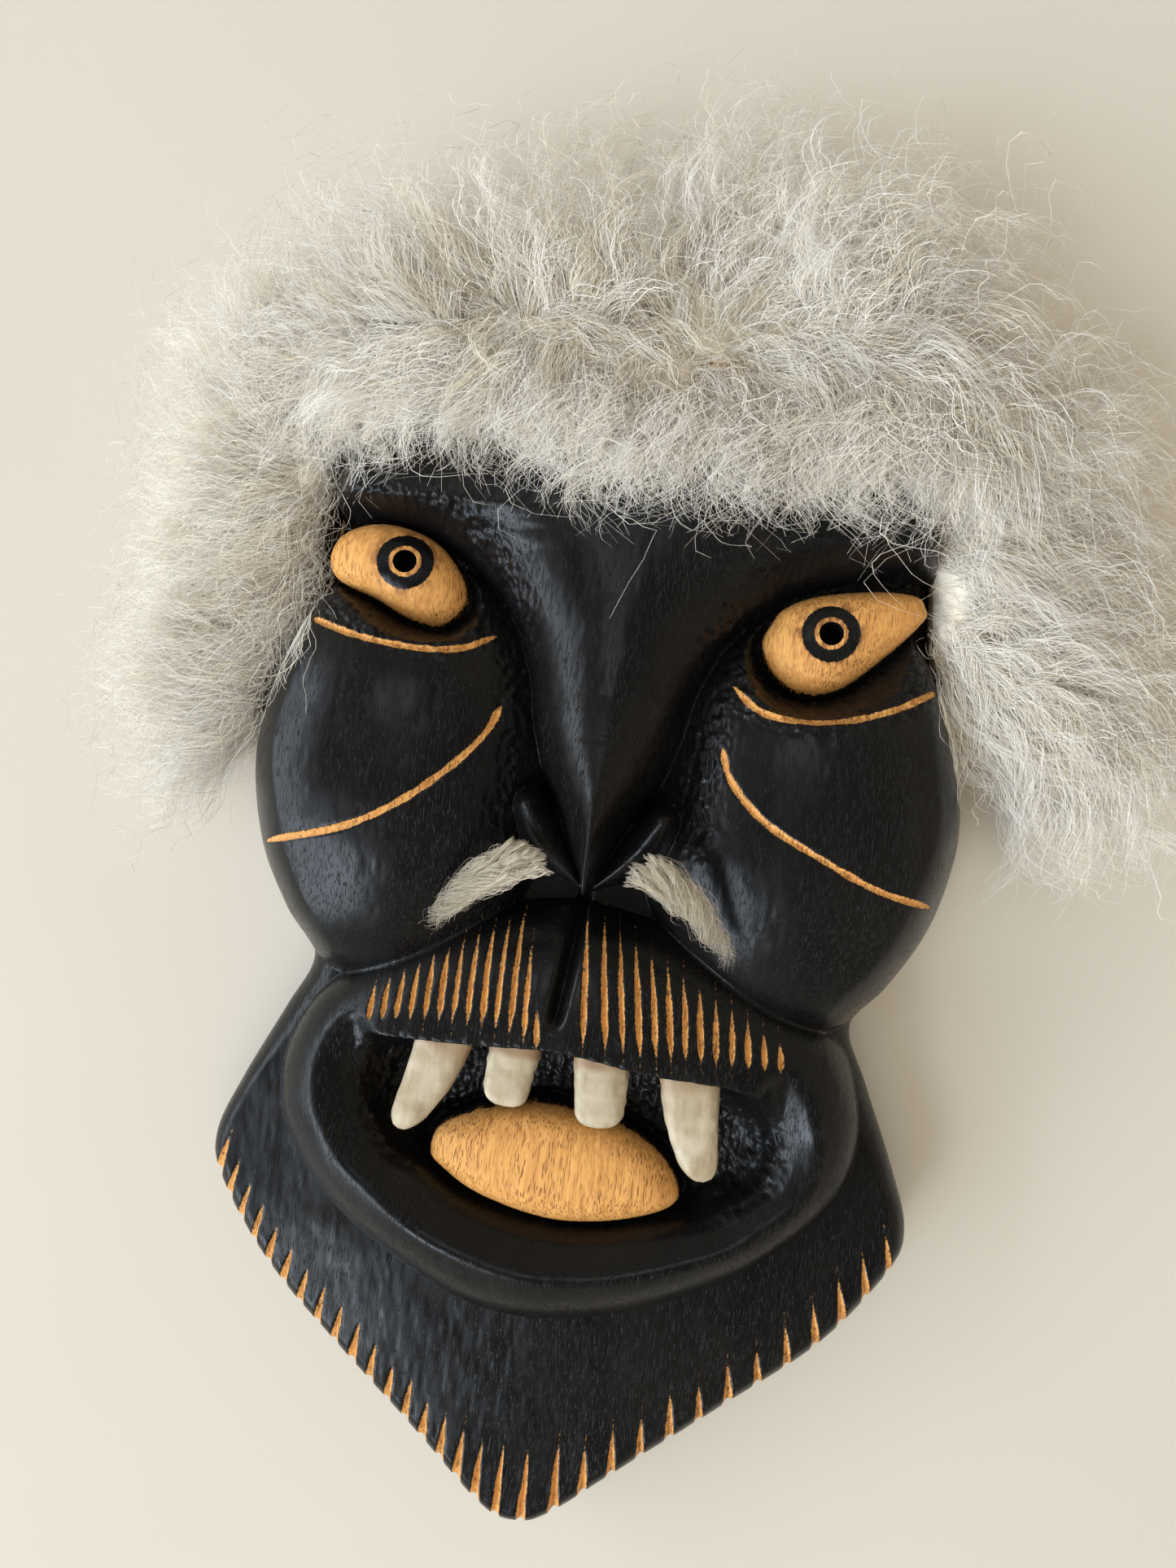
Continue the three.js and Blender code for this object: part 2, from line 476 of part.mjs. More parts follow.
// the face itself: block plus nose and its wings, less sockets and mouth, plus eyes and tongue
function face(margin, hollowed) {
  let body = union([block(margin, ROWS, COLUMNS, BACK_COLUMNS, hollowed),
    ...[nose(), ...both(wing)].map((part) => part.translate([0, -margin, 0]))]);
  const sockets = SOCKETS.map((socket, i) =>
    starBody([[EYES[i], 1.03, 31], [socket, 1, 56], [socket, 1.3, 76]]));
  const mouth = starBody([27, 31, 35, 38, 41, 46, 52, 60, 70].map((h) => [MOUTH, mouthShare(h), h]), 36);
  body = body.subtract(union([...sockets, mouth]));
  return body.add(union([...EYES.map((eye) => starDome(eye, 26, EYE_BASE, EYE_RISE, 2.2)),
    starDome(TONGUE, 24, 32, 9.5, 3.6, 32)]));
}
const wood = face(0, true);
const woodGrown = block(GAP, ROWS, COLUMNS, BACK_COLUMNS, false);
const woodNear = face(GAP, false);
const woodFar = block(3.4, 44, 26, 4, false);

const removed = [
  ...Object.values(TEETH).map((t) => tooth(t, GAP)),
  ...PUPILS.map(([x, z]) => rod(x, z, 30, 60, 3)),
  ...lipCuts(), ...jawCuts(), groove(PHILTRUM, 6, 4.5),
  ...LINES.map((line) => groove(curve(line, 2), 1.7, 1.1)),
  box(-25, -1, HANG_Z - 3, 25, 2.5, HANG_Z + 9),
  box(-15, -1, HANG_Z - 12, 15, 9, HANG_Z + 4),
  ...both((s) => rod(s * PLATE.nailX, HANG_Z + PLATE.nailZ, 1, 12.5, PLATE.nailR + GAP)),
];
add('mask_body', wood.subtract(union(removed)), BLACK_WOOD);
for (const [name, spec] of Object.entries(TEETH)) add(name, tooth(spec, 0), BONE);
add('hide_strip_crown', crownStrip().subtract(woodGrown), HIDE);
add('hide_strip_left', sideStrip(-1).subtract(woodGrown), HIDE);
add('hide_strip_right', sideStrip(1).subtract(woodGrown), HIDE);
for (const [name, [bounds, list]] of Object.entries(FLEECE)) {
  add(name, tufts(list).intersect(bounds).subtract(woodFar), WOOL);
}
add('moustache_left', moustache(-1).subtract(woodNear), WOOL);
add('moustache_right', moustache(1).subtract(woodNear), WOOL);
add('hanger_plate', hangerPlate(), STEEL);
add('hanger_nail_left', hangerNail(-1), STEEL);
add('hanger_nail_right', hangerNail(1), STEEL);

export default group;
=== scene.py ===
"""Carved wooden wall mask with bone teeth, fleece hair and a fleece moustache: the looks round the CAD frame.

The face is worked out in millimetres in face space: x to the viewer's right, z up, and h the height off the
wall. Face space is HANG_Z above the frame's origin, and h runs along -Y.
"""
import math

import bpy
import numpy as np
from mathutils import Matrix, Vector


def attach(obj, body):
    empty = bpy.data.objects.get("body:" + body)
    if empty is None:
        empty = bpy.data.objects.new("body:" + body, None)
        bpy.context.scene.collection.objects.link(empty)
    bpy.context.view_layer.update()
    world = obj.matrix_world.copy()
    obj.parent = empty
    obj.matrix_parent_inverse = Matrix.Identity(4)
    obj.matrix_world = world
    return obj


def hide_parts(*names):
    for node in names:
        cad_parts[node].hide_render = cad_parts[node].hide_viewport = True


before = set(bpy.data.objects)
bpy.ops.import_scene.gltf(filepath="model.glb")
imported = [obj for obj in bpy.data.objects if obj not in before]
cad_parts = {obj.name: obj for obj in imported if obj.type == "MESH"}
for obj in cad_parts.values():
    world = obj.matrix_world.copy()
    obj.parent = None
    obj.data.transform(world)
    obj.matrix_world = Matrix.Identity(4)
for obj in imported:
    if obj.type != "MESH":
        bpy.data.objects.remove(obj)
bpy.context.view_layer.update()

MM = 0.001
HANG_Z = 99.0


def place(x, h, z):
    """Face space in millimetres to frame metres."""
    return np.stack(np.broadcast_arrays(x, -np.asarray(h), np.asarray(z) - HANG_Z), -1) * MM


# ---- small maths
def broken(points, x):
    p = np.array(points, float)
    return np.interp(x, p[:, 0], p[:, 1])


def ramp(a, b, x):
    t = np.clip((x - a) / (b - a), 0, 1)
    return t * t * (3 - 2 * t)


def mix(a, b, t):
    return a + (b - a) * t


def soft_max(a, b, k):
    t = np.clip(0.5 + 0.5 * (a - b) / k, 0, 1)
    return mix(b, a, t) + k * t * (1 - t)


def dome(r):
    return np.sqrt(np.maximum(0, 1 - r * r))


def quarter(d, w):
    t = np.clip(1 - d / w, 0, 1)
    return np.sqrt(1 - t * t)


def curve(points, steps, before=None, after=None):
    """Catmull-Rom curve through points, with the points before and after it where they are given."""
    p = np.array(points, float)
    first = 2 * p[0] - p[1] if before is None else before
    last = 2 * p[-1] - p[-2] if after is None else after
    q = np.vstack([first, p, last])
    t = (np.arange(steps) / steps)[:, None]
    out = []
    for i in range(1, len(q) - 2):
        a, b, c, d = q[i - 1:i + 3]
        square, cube = 2 * a - 5 * b + 4 * c - d, 3 * b - a - 3 * c + d
        out.append(0.5 * (2 * b + (c - a) * t + square * t**2 + cube * t**3))
    return np.vstack(out + [p[-1:]])


def nearest(line, x, z):
    """Distance to a broken line and the share of its length at the nearest point."""
    x, z = np.broadcast_arrays(x, z)
    best, along = np.full(x.shape, 1e9), np.zeros(x.shape)
    steps = np.hypot(*np.diff(line, axis=0).T)
    start = np.concatenate([[0], np.cumsum(steps)])
    for i, length in enumerate(steps):
        (ax, az), (dx, dz) = line[i], line[i + 1] - line[i]
        t = np.clip(((x - ax) * dx + (z - az) * dz) / (length * length), 0, 1)
        r = np.hypot(x - ax - t * dx, z - az - t * dz)
        closer = r < best
        best = np.where(closer, r, best)
        along = np.where(closer, (start[i] + t * length) / start[-1], along)
    return best, along


def hashed(ix, iz, seed):
    n = np.sin(ix * 127.1 + iz * 311.7 + seed * 74.7) * 43758.5453
    return n - np.floor(n)


def noise(x, z, size, seed=0):
    """Smooth value noise from -1 to 1 with lumps about size mm across."""
    x, z = np.asarray(x) / size, np.asarray(z) / size
    ix, iz = np.floor(x), np.floor(z)
    fx, fz = x - ix, z - iz
    fx, fz = fx * fx * (3 - 2 * fx), fz * fz * (3 - 2 * fz)
    a = mix(hashed(ix, iz, seed), hashed(ix + 1, iz, seed), fx)
    b = mix(hashed(ix, iz + 1, seed), hashed(ix + 1, iz + 1, seed), fx)
    return mix(a, b, fz) * 2 - 1


def facets(x, z, size, seed=0):
    """Chisel facets: depth from 0 at the ridges between cuts to 1 in the middle of each cut."""
    best = np.full(np.shape(x), 1e9)
    second = best.copy()
    cx, cz = np.floor(x / size), np.floor(z / size)
    for i in (-1, 0, 1):
        for j in (-1, 0, 1):
            px = (cx + i + hashed(cx + i, cz + j, seed)) * size
            pz = (cz + j + hashed(cx + i, cz + j, seed + 5)) * size
            r = np.hypot(x - px, z - pz)
            second = np.minimum(second, np.maximum(best, r))
            best = np.minimum(best, r)
    return np.clip((second - best) / size * 1.6, 0, 1)


# ---- the carved face
OUTLINE = [(0, 119), (34, 116), (62, 106), (78, 90), (81, 68), (83, 46), (89, 28), (94.5, 8), (95.5, -8),
           (91, -28), (82, -45), (74, -57), (80, -72), (89, -92), (94.5, -108), (91.5, -120), (75.5, -141),
           (53, -160.5), (26.5, -182.5), (9.5, -196.5), (0, -199.5)]
HALF = curve(OUTLINE, 8, (-34, 116), (-9.5, -196.5))
SIDE_H, RIM = 17.0, 14.0
BROW = [(-130, 112), (-65, 108), (-63.5, 84), (-62, 70), (-59.5, 56), (-54.5, 44), (-46, 34), (-36, 27),
        (-24, 22.5), (-12, 20), (-3, 16.5), (3, 13.6), (8, 11), (14, 7.8), (19, 5), (24, 2.4), (28, 0.8)]
NOSE_TOP = [(-119, 40), (-95, 49), (-70, 54), (-45, 55.5), (-20, 58), (5, 65), (24, 72), (28, 73)]
NOSE_BASE = [(-119, 30), (-70, 34), (-50, 30), (-10, 36), (28, 48)]
NOSE_BOX = [(-119, 2.2), (-60, 1.9), (-30, 1.9), (-8, 1.8), (6, 1.5), (28, 1.15)]
EDGE_ROUND = [(-100, 12), (-40, 10), (20, 15), (57, 11), (90, 6), (205, 5)]


class Star:
    """A closed outline seen from its middle. Its share is 0 in the middle and 1 on the outline."""

    def __init__(self, points):
        p = np.array(points, float)
        self.middle = (p.max(0) + p.min(0)) / 2
        line = curve(np.vstack([p, p[:1]]), 8, p[-1], p[1])[:-1] - self.middle
        angle = np.degrees(np.arctan2(line[:, 1], line[:, 0]))
        order = np.argsort(angle)
        self.angle, self.reach = angle[order], np.hypot(*line.T)[order]

    def share(self, x, z):
        dx, dz = x - self.middle[0], z - self.middle[1]
        angle = np.degrees(np.arctan2(dz, dx))
        return np.hypot(dx, dz) / np.interp(angle, self.angle, self.reach, period=360)


EYES = [Star([(-78.8, 49.5), (-76.2, 55.9), (-68.6, 59.6), (-59.2, 59.6), (-49.6, 55.9), (-42.3, 47.6),
              (-41.3, 40.6), (-46.9, 34.8), (-56.1, 35.9), (-64.9, 39.9), (-75.7, 43.8)]),
        Star([(36.4, 39.7), (38.2, 45.6), (41.6, 50.3), (50.2, 54.2), (65.4, 57), (74.4, 56.8), (77, 54.3),
              (77, 50.3), (67.5, 39.3), (57, 30.1), (47.4, 28.3), (39.8, 32.7)])]
SOCKETS = [(-57, 46.5, 30, 19.3, 170, 0.1), (57, 41, 31.5, 21.2, 16, 0.1)]
PUPILS = [(-57, 49.3), (52.8, 43.3)]
PUPIL_R = 3.0
MUZZLE = Star([(-2, -32), (11, -33.5), (24, -36), (37, -40), (50, -47), (62, -55), (72, -63), (76, -74),
               (77.5, -86), (75, -98), (67, -109), (55.5, -119.6), (43.5, -127.1), (31.4, -133.2),
               (19, -137.8), (6.3, -140.5), (-6.6, -141.6), (-20, -139.7), (-31.6, -134.9), (-44.6, -128.1),
               (-56.8, -120.1), (-67.2, -109.6), (-74.4, -97.5), (-75.8, -86.7), (-74, -76.6), (-69, -66),
               (-60, -57), (-49, -48.5), (-39, -42), (-28, -37), (-15, -33.5)])
RECESS = Star([(-50.9, -85.2), (-49, -75.4), (-42, -71.7), (-20.8, -70.5), (-1.9, -69.5), (21.6, -72),
               (40.4, -73), (49.6, -79.6), (53.6, -87.3), (51.6, -96.8), (44.1, -103.1), (34.4, -108.6),
               (6, -115.1), (-19.6, -112.2), (-33.3, -104.8), (-42.7, -98.7)])
TONGUE = Star([(-33.1, -101.4), (-31.1, -94.2), (-19, -87.6), (-4.4, -84.9), (12.8, -86.5), (26.3, -93),
               (32.8, -101.5), (31.2, -107), (20.2, -111.7), (5.7, -114.2), (-7.1, -113.5), (-20.4, -110.1),
               (-29.6, -105.1)])
WING = curve([(1, -27.8), (7, -22), (12.5, -15.5), (16.5, -9)], 5)
WING_HALF = [(0, 0.8), (0.25, 3.8), (0.5, 5.8), (0.75, 6.2), (1, 5.0)]
LOWER_LIP = [(0, 26), (0.88, 28.5), (0.97, 33), (1.03, 38), (1.12, 41), (1.28, 44.5), (1.5, 49), (1.8, 60),
             (3, 90)]
UPPER_LIP = [(0, 26), (0.86, 29), (0.95, 35), (1.02, 46), (1.09, 60), (3, 90)]
PHILTRUM = curve([(-1, -31), (-2, -45), (-4, -64)], 4)
LINES = [[(-79, 32), (-65, 28), (-50, 26.5), (-39, 28), (-31, 33)],
         [(81, 32), (69, 25), (58, 21), (47, 19.5), (37, 21), (30, 27)],
         [(-27, 15), (-30, 7), (-37, -2), (-48, -12), (-62, -20), (-84, -26.5)],
         [(29, 11), (32, 3), (41, -6), (55, -13), (70, -19), (86, -22)]]


def edge_x(z):
    return np.interp(-np.asarray(z, float), -HALF[:, 1], HALF[:, 0])


def egg_radius(egg, x, z):
    cx, cz, a, b, tilt, narrowing = egg
    t = math.radians(tilt)
    u = ((x - cx) * math.cos(t) + (z - cz) * math.sin(t)) / a
    v = ((z - cz) * math.cos(t) - (x - cx) * math.sin(t)) / b
    return np.hypot(u, v / (1 - narrowing * np.clip(u, -1, 1)))


def brow_height(x, z):
    share, n, base = np.abs(x) / broken(BROW, -z), broken(NOSE_BOX, -z), broken(NOSE_BASE, -z)
    rise = (broken(NOSE_TOP, -z) - base) * np.maximum(0, 1 - np.minimum(share, 1) ** n) ** (1 / n)
    return np.where((share < 1) & (z > -28), base + rise, 0)


def relief(x, z, edge):
    """Height of the face off the wall plane; edge is the distance in from the outline."""
    ax = np.abs(x)
    h = 31 - 6 * (ax / 95) ** 2 - 6 * ramp(-125, -205, z)
    h = soft_max(h, 26 + 31 * dome(np.hypot((ax - 55) / 45, (z + 3) / 57)), 2)
    muzzle = MUZZLE.share(x, z)
    lips = 26 + 26 * np.maximum(0, 1 - muzzle**3) ** 0.45 + 2.5 * np.exp(-((x / 30) ** 2)) * ramp(-90, -45, z)
    h = soft_max(h, np.where(muzzle < 1, lips, 0), 1.2)
    h = soft_max(h, brow_height(x, z), 1.4)
    away, along = nearest(WING, ax, z)
    wing = away / broken(WING_HALF, along)
    h = soft_max(h, np.where(wing < 1, 38 + (11 + 9 * along) * dome(wing), 0), 0.4)
    h = SIDE_H + np.maximum(0, h - SIDE_H) * quarter(edge, broken(EDGE_ROUND, -z))
    for eye, socket in zip(EYES, SOCKETS):
        inner, outer = eye.share(x, z), egg_radius(socket, x, z)
        a, b = np.maximum(0, inner - 1.0) * 13, np.maximum(0, 1 - outer) * 22
        slope = 31 + 25 * (a / (a + b + 1e-6)) ** 0.85
        h = np.where(outer < 1, -soft_max(-h, -slope, 1.2), h)
        h = np.where(inner < 1, np.maximum(h, 35.5 + 9.5 * np.sqrt(np.maximum(0, 1 - inner**2.2))), h)
    m, t = RECESS.share(x, z), TONGUE.share(x, z)
    bowl = mix(broken(LOWER_LIP, m), broken(UPPER_LIP, m), ramp(-92, -76, z) * ramp(56, 38, ax))
    h = -soft_max(-h, -bowl, 2.2)
    h = h - np.where(t > 1, 3.2 * np.exp(-(((t - 1.04) * 16) ** 2)), 0)
    h = np.where(t < 1, np.maximum(h, 32 + 9.5 * np.sqrt(np.maximum(0, 1 - t**3.6))), h)
    return h


def hollow(x, z, edge):
    inside = edge - RIM - 10 * ramp(70, 92, z)
    deep = (13 + 15 * np.exp(-((x / 46) ** 2) - ((z - 5) / 62) ** 2)) * quarter(np.maximum(inside, 0), 16)
    return np.where(inside > 0, deep, 0)


def cuts():
    """V cuts as (x0, z0, x1, z1, width, depth, flare): two combs over the lip and the fringe of the jaw."""
    out = []
    for i in range(13):
        right, left = 0.8 + 4.3 * i, -8.3 - 3.55 * i
        lean = 3.9 * math.exp(-(((right - 9) / 22) ** 2)) + 0.8 * (i > 0)
        out.append((right, -34.5 - 0.53 * max(0, right - 4), right + lean, -66.7, 1.55, 1.3, 0))
        top = -33.7 - (4.3 * (14 + left) if left > -14 else 0.69 * (-14 - left))
        lean = 1.2 * min(1, max(0, (50 + left) / 32))
        out.append((left, top, left + lean, -64.7 - 0.0075 * (left + 29) ** 2, 1.5, 1.3, 0))
    line = HALF[::-1]
    walked = np.concatenate([[0], np.cumsum(np.hypot(*np.diff(line, axis=0).T))])
    for side, count, pitch, first in ((-1, 18, 6.95, 5.0), (1, 14, 9.2, 2.4)):
        for i in range(count):
            at = first + pitch * i
            x = side * (np.interp(at, walked, line[:, 0]) - 0.2)
            z = np.interp(at, walked, line[:, 1]) + 0.2
            lean, tall = math.tan(math.radians(-14 * x / 90)), 12.5 + 12 * math.exp(-abs(x) / 16)
            tall *= 1 + 0.12 * float(noise(i * 3.7, side * 9.1, 1.0, 3))
            out.append((x, z, x + lean * tall, z + tall, 2.9, 2.3, 1))
    return out


def carve_lines(x, z, h):
    """Cuts the combs, the jaw's edge and the long lines. Gives the height and the depth into bare wood."""
    bare = np.full(h.shape, -3.0)
    for k, (x0, z0, x1, z1, wide, deep, flare) in enumerate(cuts()):
        near = np.nonzero((np.abs(x - (x0 + x1) / 2) < abs(x1 - x0) / 2 + 4)
                          & (z > min(z0, z1) - 4) & (z < max(z0, z1) + 4))
        px, pz = x[near], z[near]
        length = math.hypot(x1 - x0, z1 - z0)
        ux, uz = (x1 - x0) / length, (z1 - z0) / length
        t = ((px - x0) * ux + (pz - z0) * uz) / length
        wobble = 0.12 * noise(t * length, t * 0 + k, 4.0, k)
        d = np.abs((px - x0) * uz - (pz - z0) * ux + wobble)
        jitter = 1 + 0.18 * float(noise(k * 2.3, 7.7, 1.0, 8))
        if flare:
            half = wide / 2 * jitter * np.clip(1 - t, 0, 1) ** 0.75 * (t > -0.3)
        else:
            half = wide / 2 * jitter * np.clip(5 * (1 - t), 0, 1) * np.clip(2.2 * t, 0, 1) ** 0.8
        half = half * (1 + 0.12 * noise(t * length, t * 0 + k, 3.0, k + 40))
        h[near] -= deep * jitter * np.clip(half - d, 0, None) / (wide / 2)
        bare[near] = np.maximum(bare[near], half - d)
    for k, line in enumerate(LINES):
        d, t = nearest(curve(line, 6), x, z)
        half = (0.82 + 0.16 * noise(t * 60, t * 0, 3.0, 60 + k)) * np.clip(30 * t, 0, 1) ** 0.5
        half = half * np.clip(16 * (1 - t), 0, 1) ** 0.5
        h -= 1.1 * np.clip(half - d, 0, None)
        bare = np.maximum(bare, half - d)
    return h, bare


def fine_face(x, z):
    """The face with every tool mark, and its masks."""
    edge = nearest(HALF, np.abs(x), z)[0]
    h = relief(x, z, edge)
    m, t = RECESS.share(x, z), TONGUE.share(x, z)
    gouged = ramp(1.14, 0.98, m) * ramp(1.0, 1.04, t) * ramp(-112, -100, z)
    valley_x = np.interp(-z, [-40, 0, 15], [27, 23, 24])
    valley = np.exp(-(((np.abs(x) - valley_x) / 5.5) ** 2)) * ramp(-24, -8, z)
    gouged = np.maximum(gouged, 0.8 * valley * ramp(56, 44, z))
    marks = facets(x + 1.5 * noise(x, z, 9, 1), z * 0.5, 2.3, 2)
    for eye, socket in zip(EYES, SOCKETS):   # the strokes round an eye follow its outline
        inner, outer = eye.share(x, z), egg_radius(socket, x, z)
        here = ramp(1.02, 1.1, inner) * ramp(1.22, 0.96, outer)
        dx, dz = x - eye.middle[0], z - eye.middle[1]
        round_it = facets(np.arctan2(dz, dx) * 13, inner * 17 + 1.2 * noise(x, z, 5, 3), 1.9, 12)
        marks = np.where(here > gouged, round_it, marks)
        gouged = np.maximum(gouged, here)
    h -= gouged * (0.75 * marks + 0.45 * noise(x, z, 1.5, 4) + 0.3 * noise(x, z, 0.8, 14))
    h += 0.28 * noise(x, z, 17, 5) + 0.10 * noise(x, z, 6, 6)
    h += 0.05 * noise(x * 3, z, 4, 7)
    groove, along = nearest(PHILTRUM, x, z)
    h -= 4.6 * np.exp(-((groove / 1.7) ** 2)) * ramp(-0.1, 0.12, along) * ramp(1.02, 0.8, along)
    scratch = np.exp(-(((x - 3) / 9) ** 2)) * ramp(2, 7, z) * ramp(28, 20, z)
    h -= 0.34 * scratch * np.clip(noise(x * 0.06 + z * 0.02, z, 1.5, 9) * 4 - 1.4, 0, 1)
    h, bare = carve_lines(x, z, h)
    for eye in EYES:
        bare = np.maximum(bare, (0.985 - eye.share(x, z)) * 14)
    # the top edge of the tongue is torn across the grain
    torn = 0.6 * np.clip(noise(x, z, 2.2, 31) - 0.1, 0, 1) * ramp(0.8, 1.0, t) * ramp(-98, -88, z)
    h -= 1.2 * torn * (t < 1)
    h -= 0.35 * (t < 1) * np.clip(noise(x, z * 0.12, 0.9, 33) - 0.35, 0, 1)
    bare = np.maximum(bare, (0.985 - t - 0.05 * torn) * 17)
    return h, np.clip(bare, -3, 3), gouged, edge


# ---- meshes
def make_mesh(name, verts, faces, materials, smooth=True, attributes=None, slots=None):
    mesh = bpy.data.meshes.new(name)
    mesh.vertices.add(len(verts))
    mesh.vertices.foreach_set("co", np.asarray(verts, np.float32).ravel())
    loops, starts, at = [], [], 0
    for block in faces:
        block = np.asarray(block, np.int32)
        starts.append(at + np.arange(len(block), dtype=np.int32) * block.shape[1])
        loops.append(block.ravel())
        at += block.size
    loops, starts = np.concatenate(loops), np.concatenate(starts)
    mesh.loops.add(len(loops))
    mesh.loops.foreach_set("vertex_index", loops)
    mesh.polygons.add(len(starts))
    mesh.polygons.foreach_set("loop_start", starts)
    mesh.update(calc_edges=True)
    mesh.validate()
    mesh.polygons.foreach_set("use_smooth", np.full(len(mesh.polygons), smooth))
    if slots is not None:
        mesh.polygons.foreach_set("material_index", np.asarray(slots, np.int32))
    for key, values in (attributes or {}).items():
        data = mesh.attributes.new(key, "FLOAT", "POINT").data
        data.foreach_set("value", np.asarray(values, np.float32).ravel())
    for material in materials:
        mesh.materials.append(material)
    ob = bpy.data.objects.new(name, mesh)
    bpy.context.scene.collection.objects.link(ob)
    return ob


def ring_faces(rows, columns):
    """Quads between closed rings of points."""
    index = np.arange(rows * columns).reshape(rows, columns)
    index = np.concatenate([index, index[:, :1]], 1)
    a, b, c, d = index[:-1, :-1], index[:-1, 1:], index[1:, 1:], index[1:, :-1]
    return np.stack([a, d, c, b], -1).reshape(-1, 4)


def loft(name, loops, materials, attributes=None, flip=False):
    """Closed body through equal loops of points, with a fan over each end."""
    rows, columns = loops.shape[:2]
    verts = np.concatenate([loops.reshape(-1, 3), loops[0].mean(0)[None], loops[-1].mean(0)[None]])
    side = ring_faces(rows, columns)
    j = np.arange(columns)
    k = (j + 1) % columns
    end, top = (rows - 1) * columns, rows * columns
    first = np.stack([np.full(columns, top), j, k], -1)
    last = np.stack([np.full(columns, top + 1), end + k, end + j], -1)
    faces = [side, first, last]
    if flip:
        faces = [f[:, ::-1] for f in faces]
    full = {key: np.concatenate([v.ravel(), [v[0].mean(), v[-1].mean()]])
            for key, v in (attributes or {}).items()}
    return make_mesh(name, verts, faces, materials, attributes=full)


def stands_for(ob, node):
    """Puts a piece on the one body in place of a CAD node."""
    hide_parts(node)
    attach(ob, "root")


# ---- materials
class Shader:
    """A Principled material and short ways to add nodes to it."""

    def __init__(self, name, color=(0.8, 0.8, 0.8), **values):
        self.mat = bpy.data.materials.new(name)
        self.mat.use_nodes = True
        self.tree = self.mat.node_tree
        self.out = self.tree.nodes["Principled BSDF"]
        self.out.inputs["Base Color"].default_value = (*color, 1)
        self.mat.diffuse_color = (*color, 1)
        for key, value in values.items():
            self.feed(key.replace("_", " "), value)
        self.coords = self.add("TexCoord").outputs["Object"]

    def put(self, socket, value):
        if isinstance(value, bpy.types.NodeSocket):
            self.tree.links.new(value, socket)
        elif isinstance(value, tuple) and len(value) == 3 and socket.type == "RGBA":
            socket.default_value = (*value, 1)
        else:
            socket.default_value = value

    def feed(self, name, value):
        self.put(self.out.inputs[name], value)

    def add(self, kind, inputs=None, **settings):
        node = self.tree.nodes.new("ShaderNode" + kind)
        for key, value in settings.items():
            setattr(node, key, value)
        for key, value in (inputs or {}).items():
            self.put(node.inputs[key], value)
        return node

    def math(self, operation, a, b=0.0):
        return self.add("Math", {0: a, 1: b}, operation=operation).outputs[0]

    def times(self, a, b):
        return self.math("MULTIPLY", a, b)

    def plus(self, a, b):
        return self.math("ADD", a, b)

    def step(self, value, low, high, to_low=0.0, to_high=1.0):
        return self.add("MapRange", {"Value": value, "From Min": low, "From Max": high, "To Min": to_low,
                                     "To Max": to_high}, interpolation_type="SMOOTHSTEP").outputs[0]

    def blend(self, fac, a, b):
        node = self.add("Mix", data_type="RGBA")
        for key, value in ((0, fac), (6, a), (7, b)):
            self.put(node.inputs[key], value)
        return node.outputs[2]

    def vector(self, operation, a, b):
        return self.add("VectorMath", {0: a, 1: b}, operation=operation).outputs[0]

    def scaled(self, sx, sy, sz):
        return self.vector("MULTIPLY", self.coords, (sx, sy, sz))

    def noise(self, vector, detail=2.0, rough=0.5):
        inputs = {"Vector": vector, "Scale": 1.0, "Detail": detail, "Roughness": rough}
        return self.add("TexNoise", inputs).outputs["Fac"]

    def attribute(self, name):
        return self.add("Attribute", attribute_name=name).outputs["Fac"]

    def bump(self, height, distance):
        return self.add("Bump", {"Height": height, "Distance": distance, "Strength": 1.0}).outputs[0]


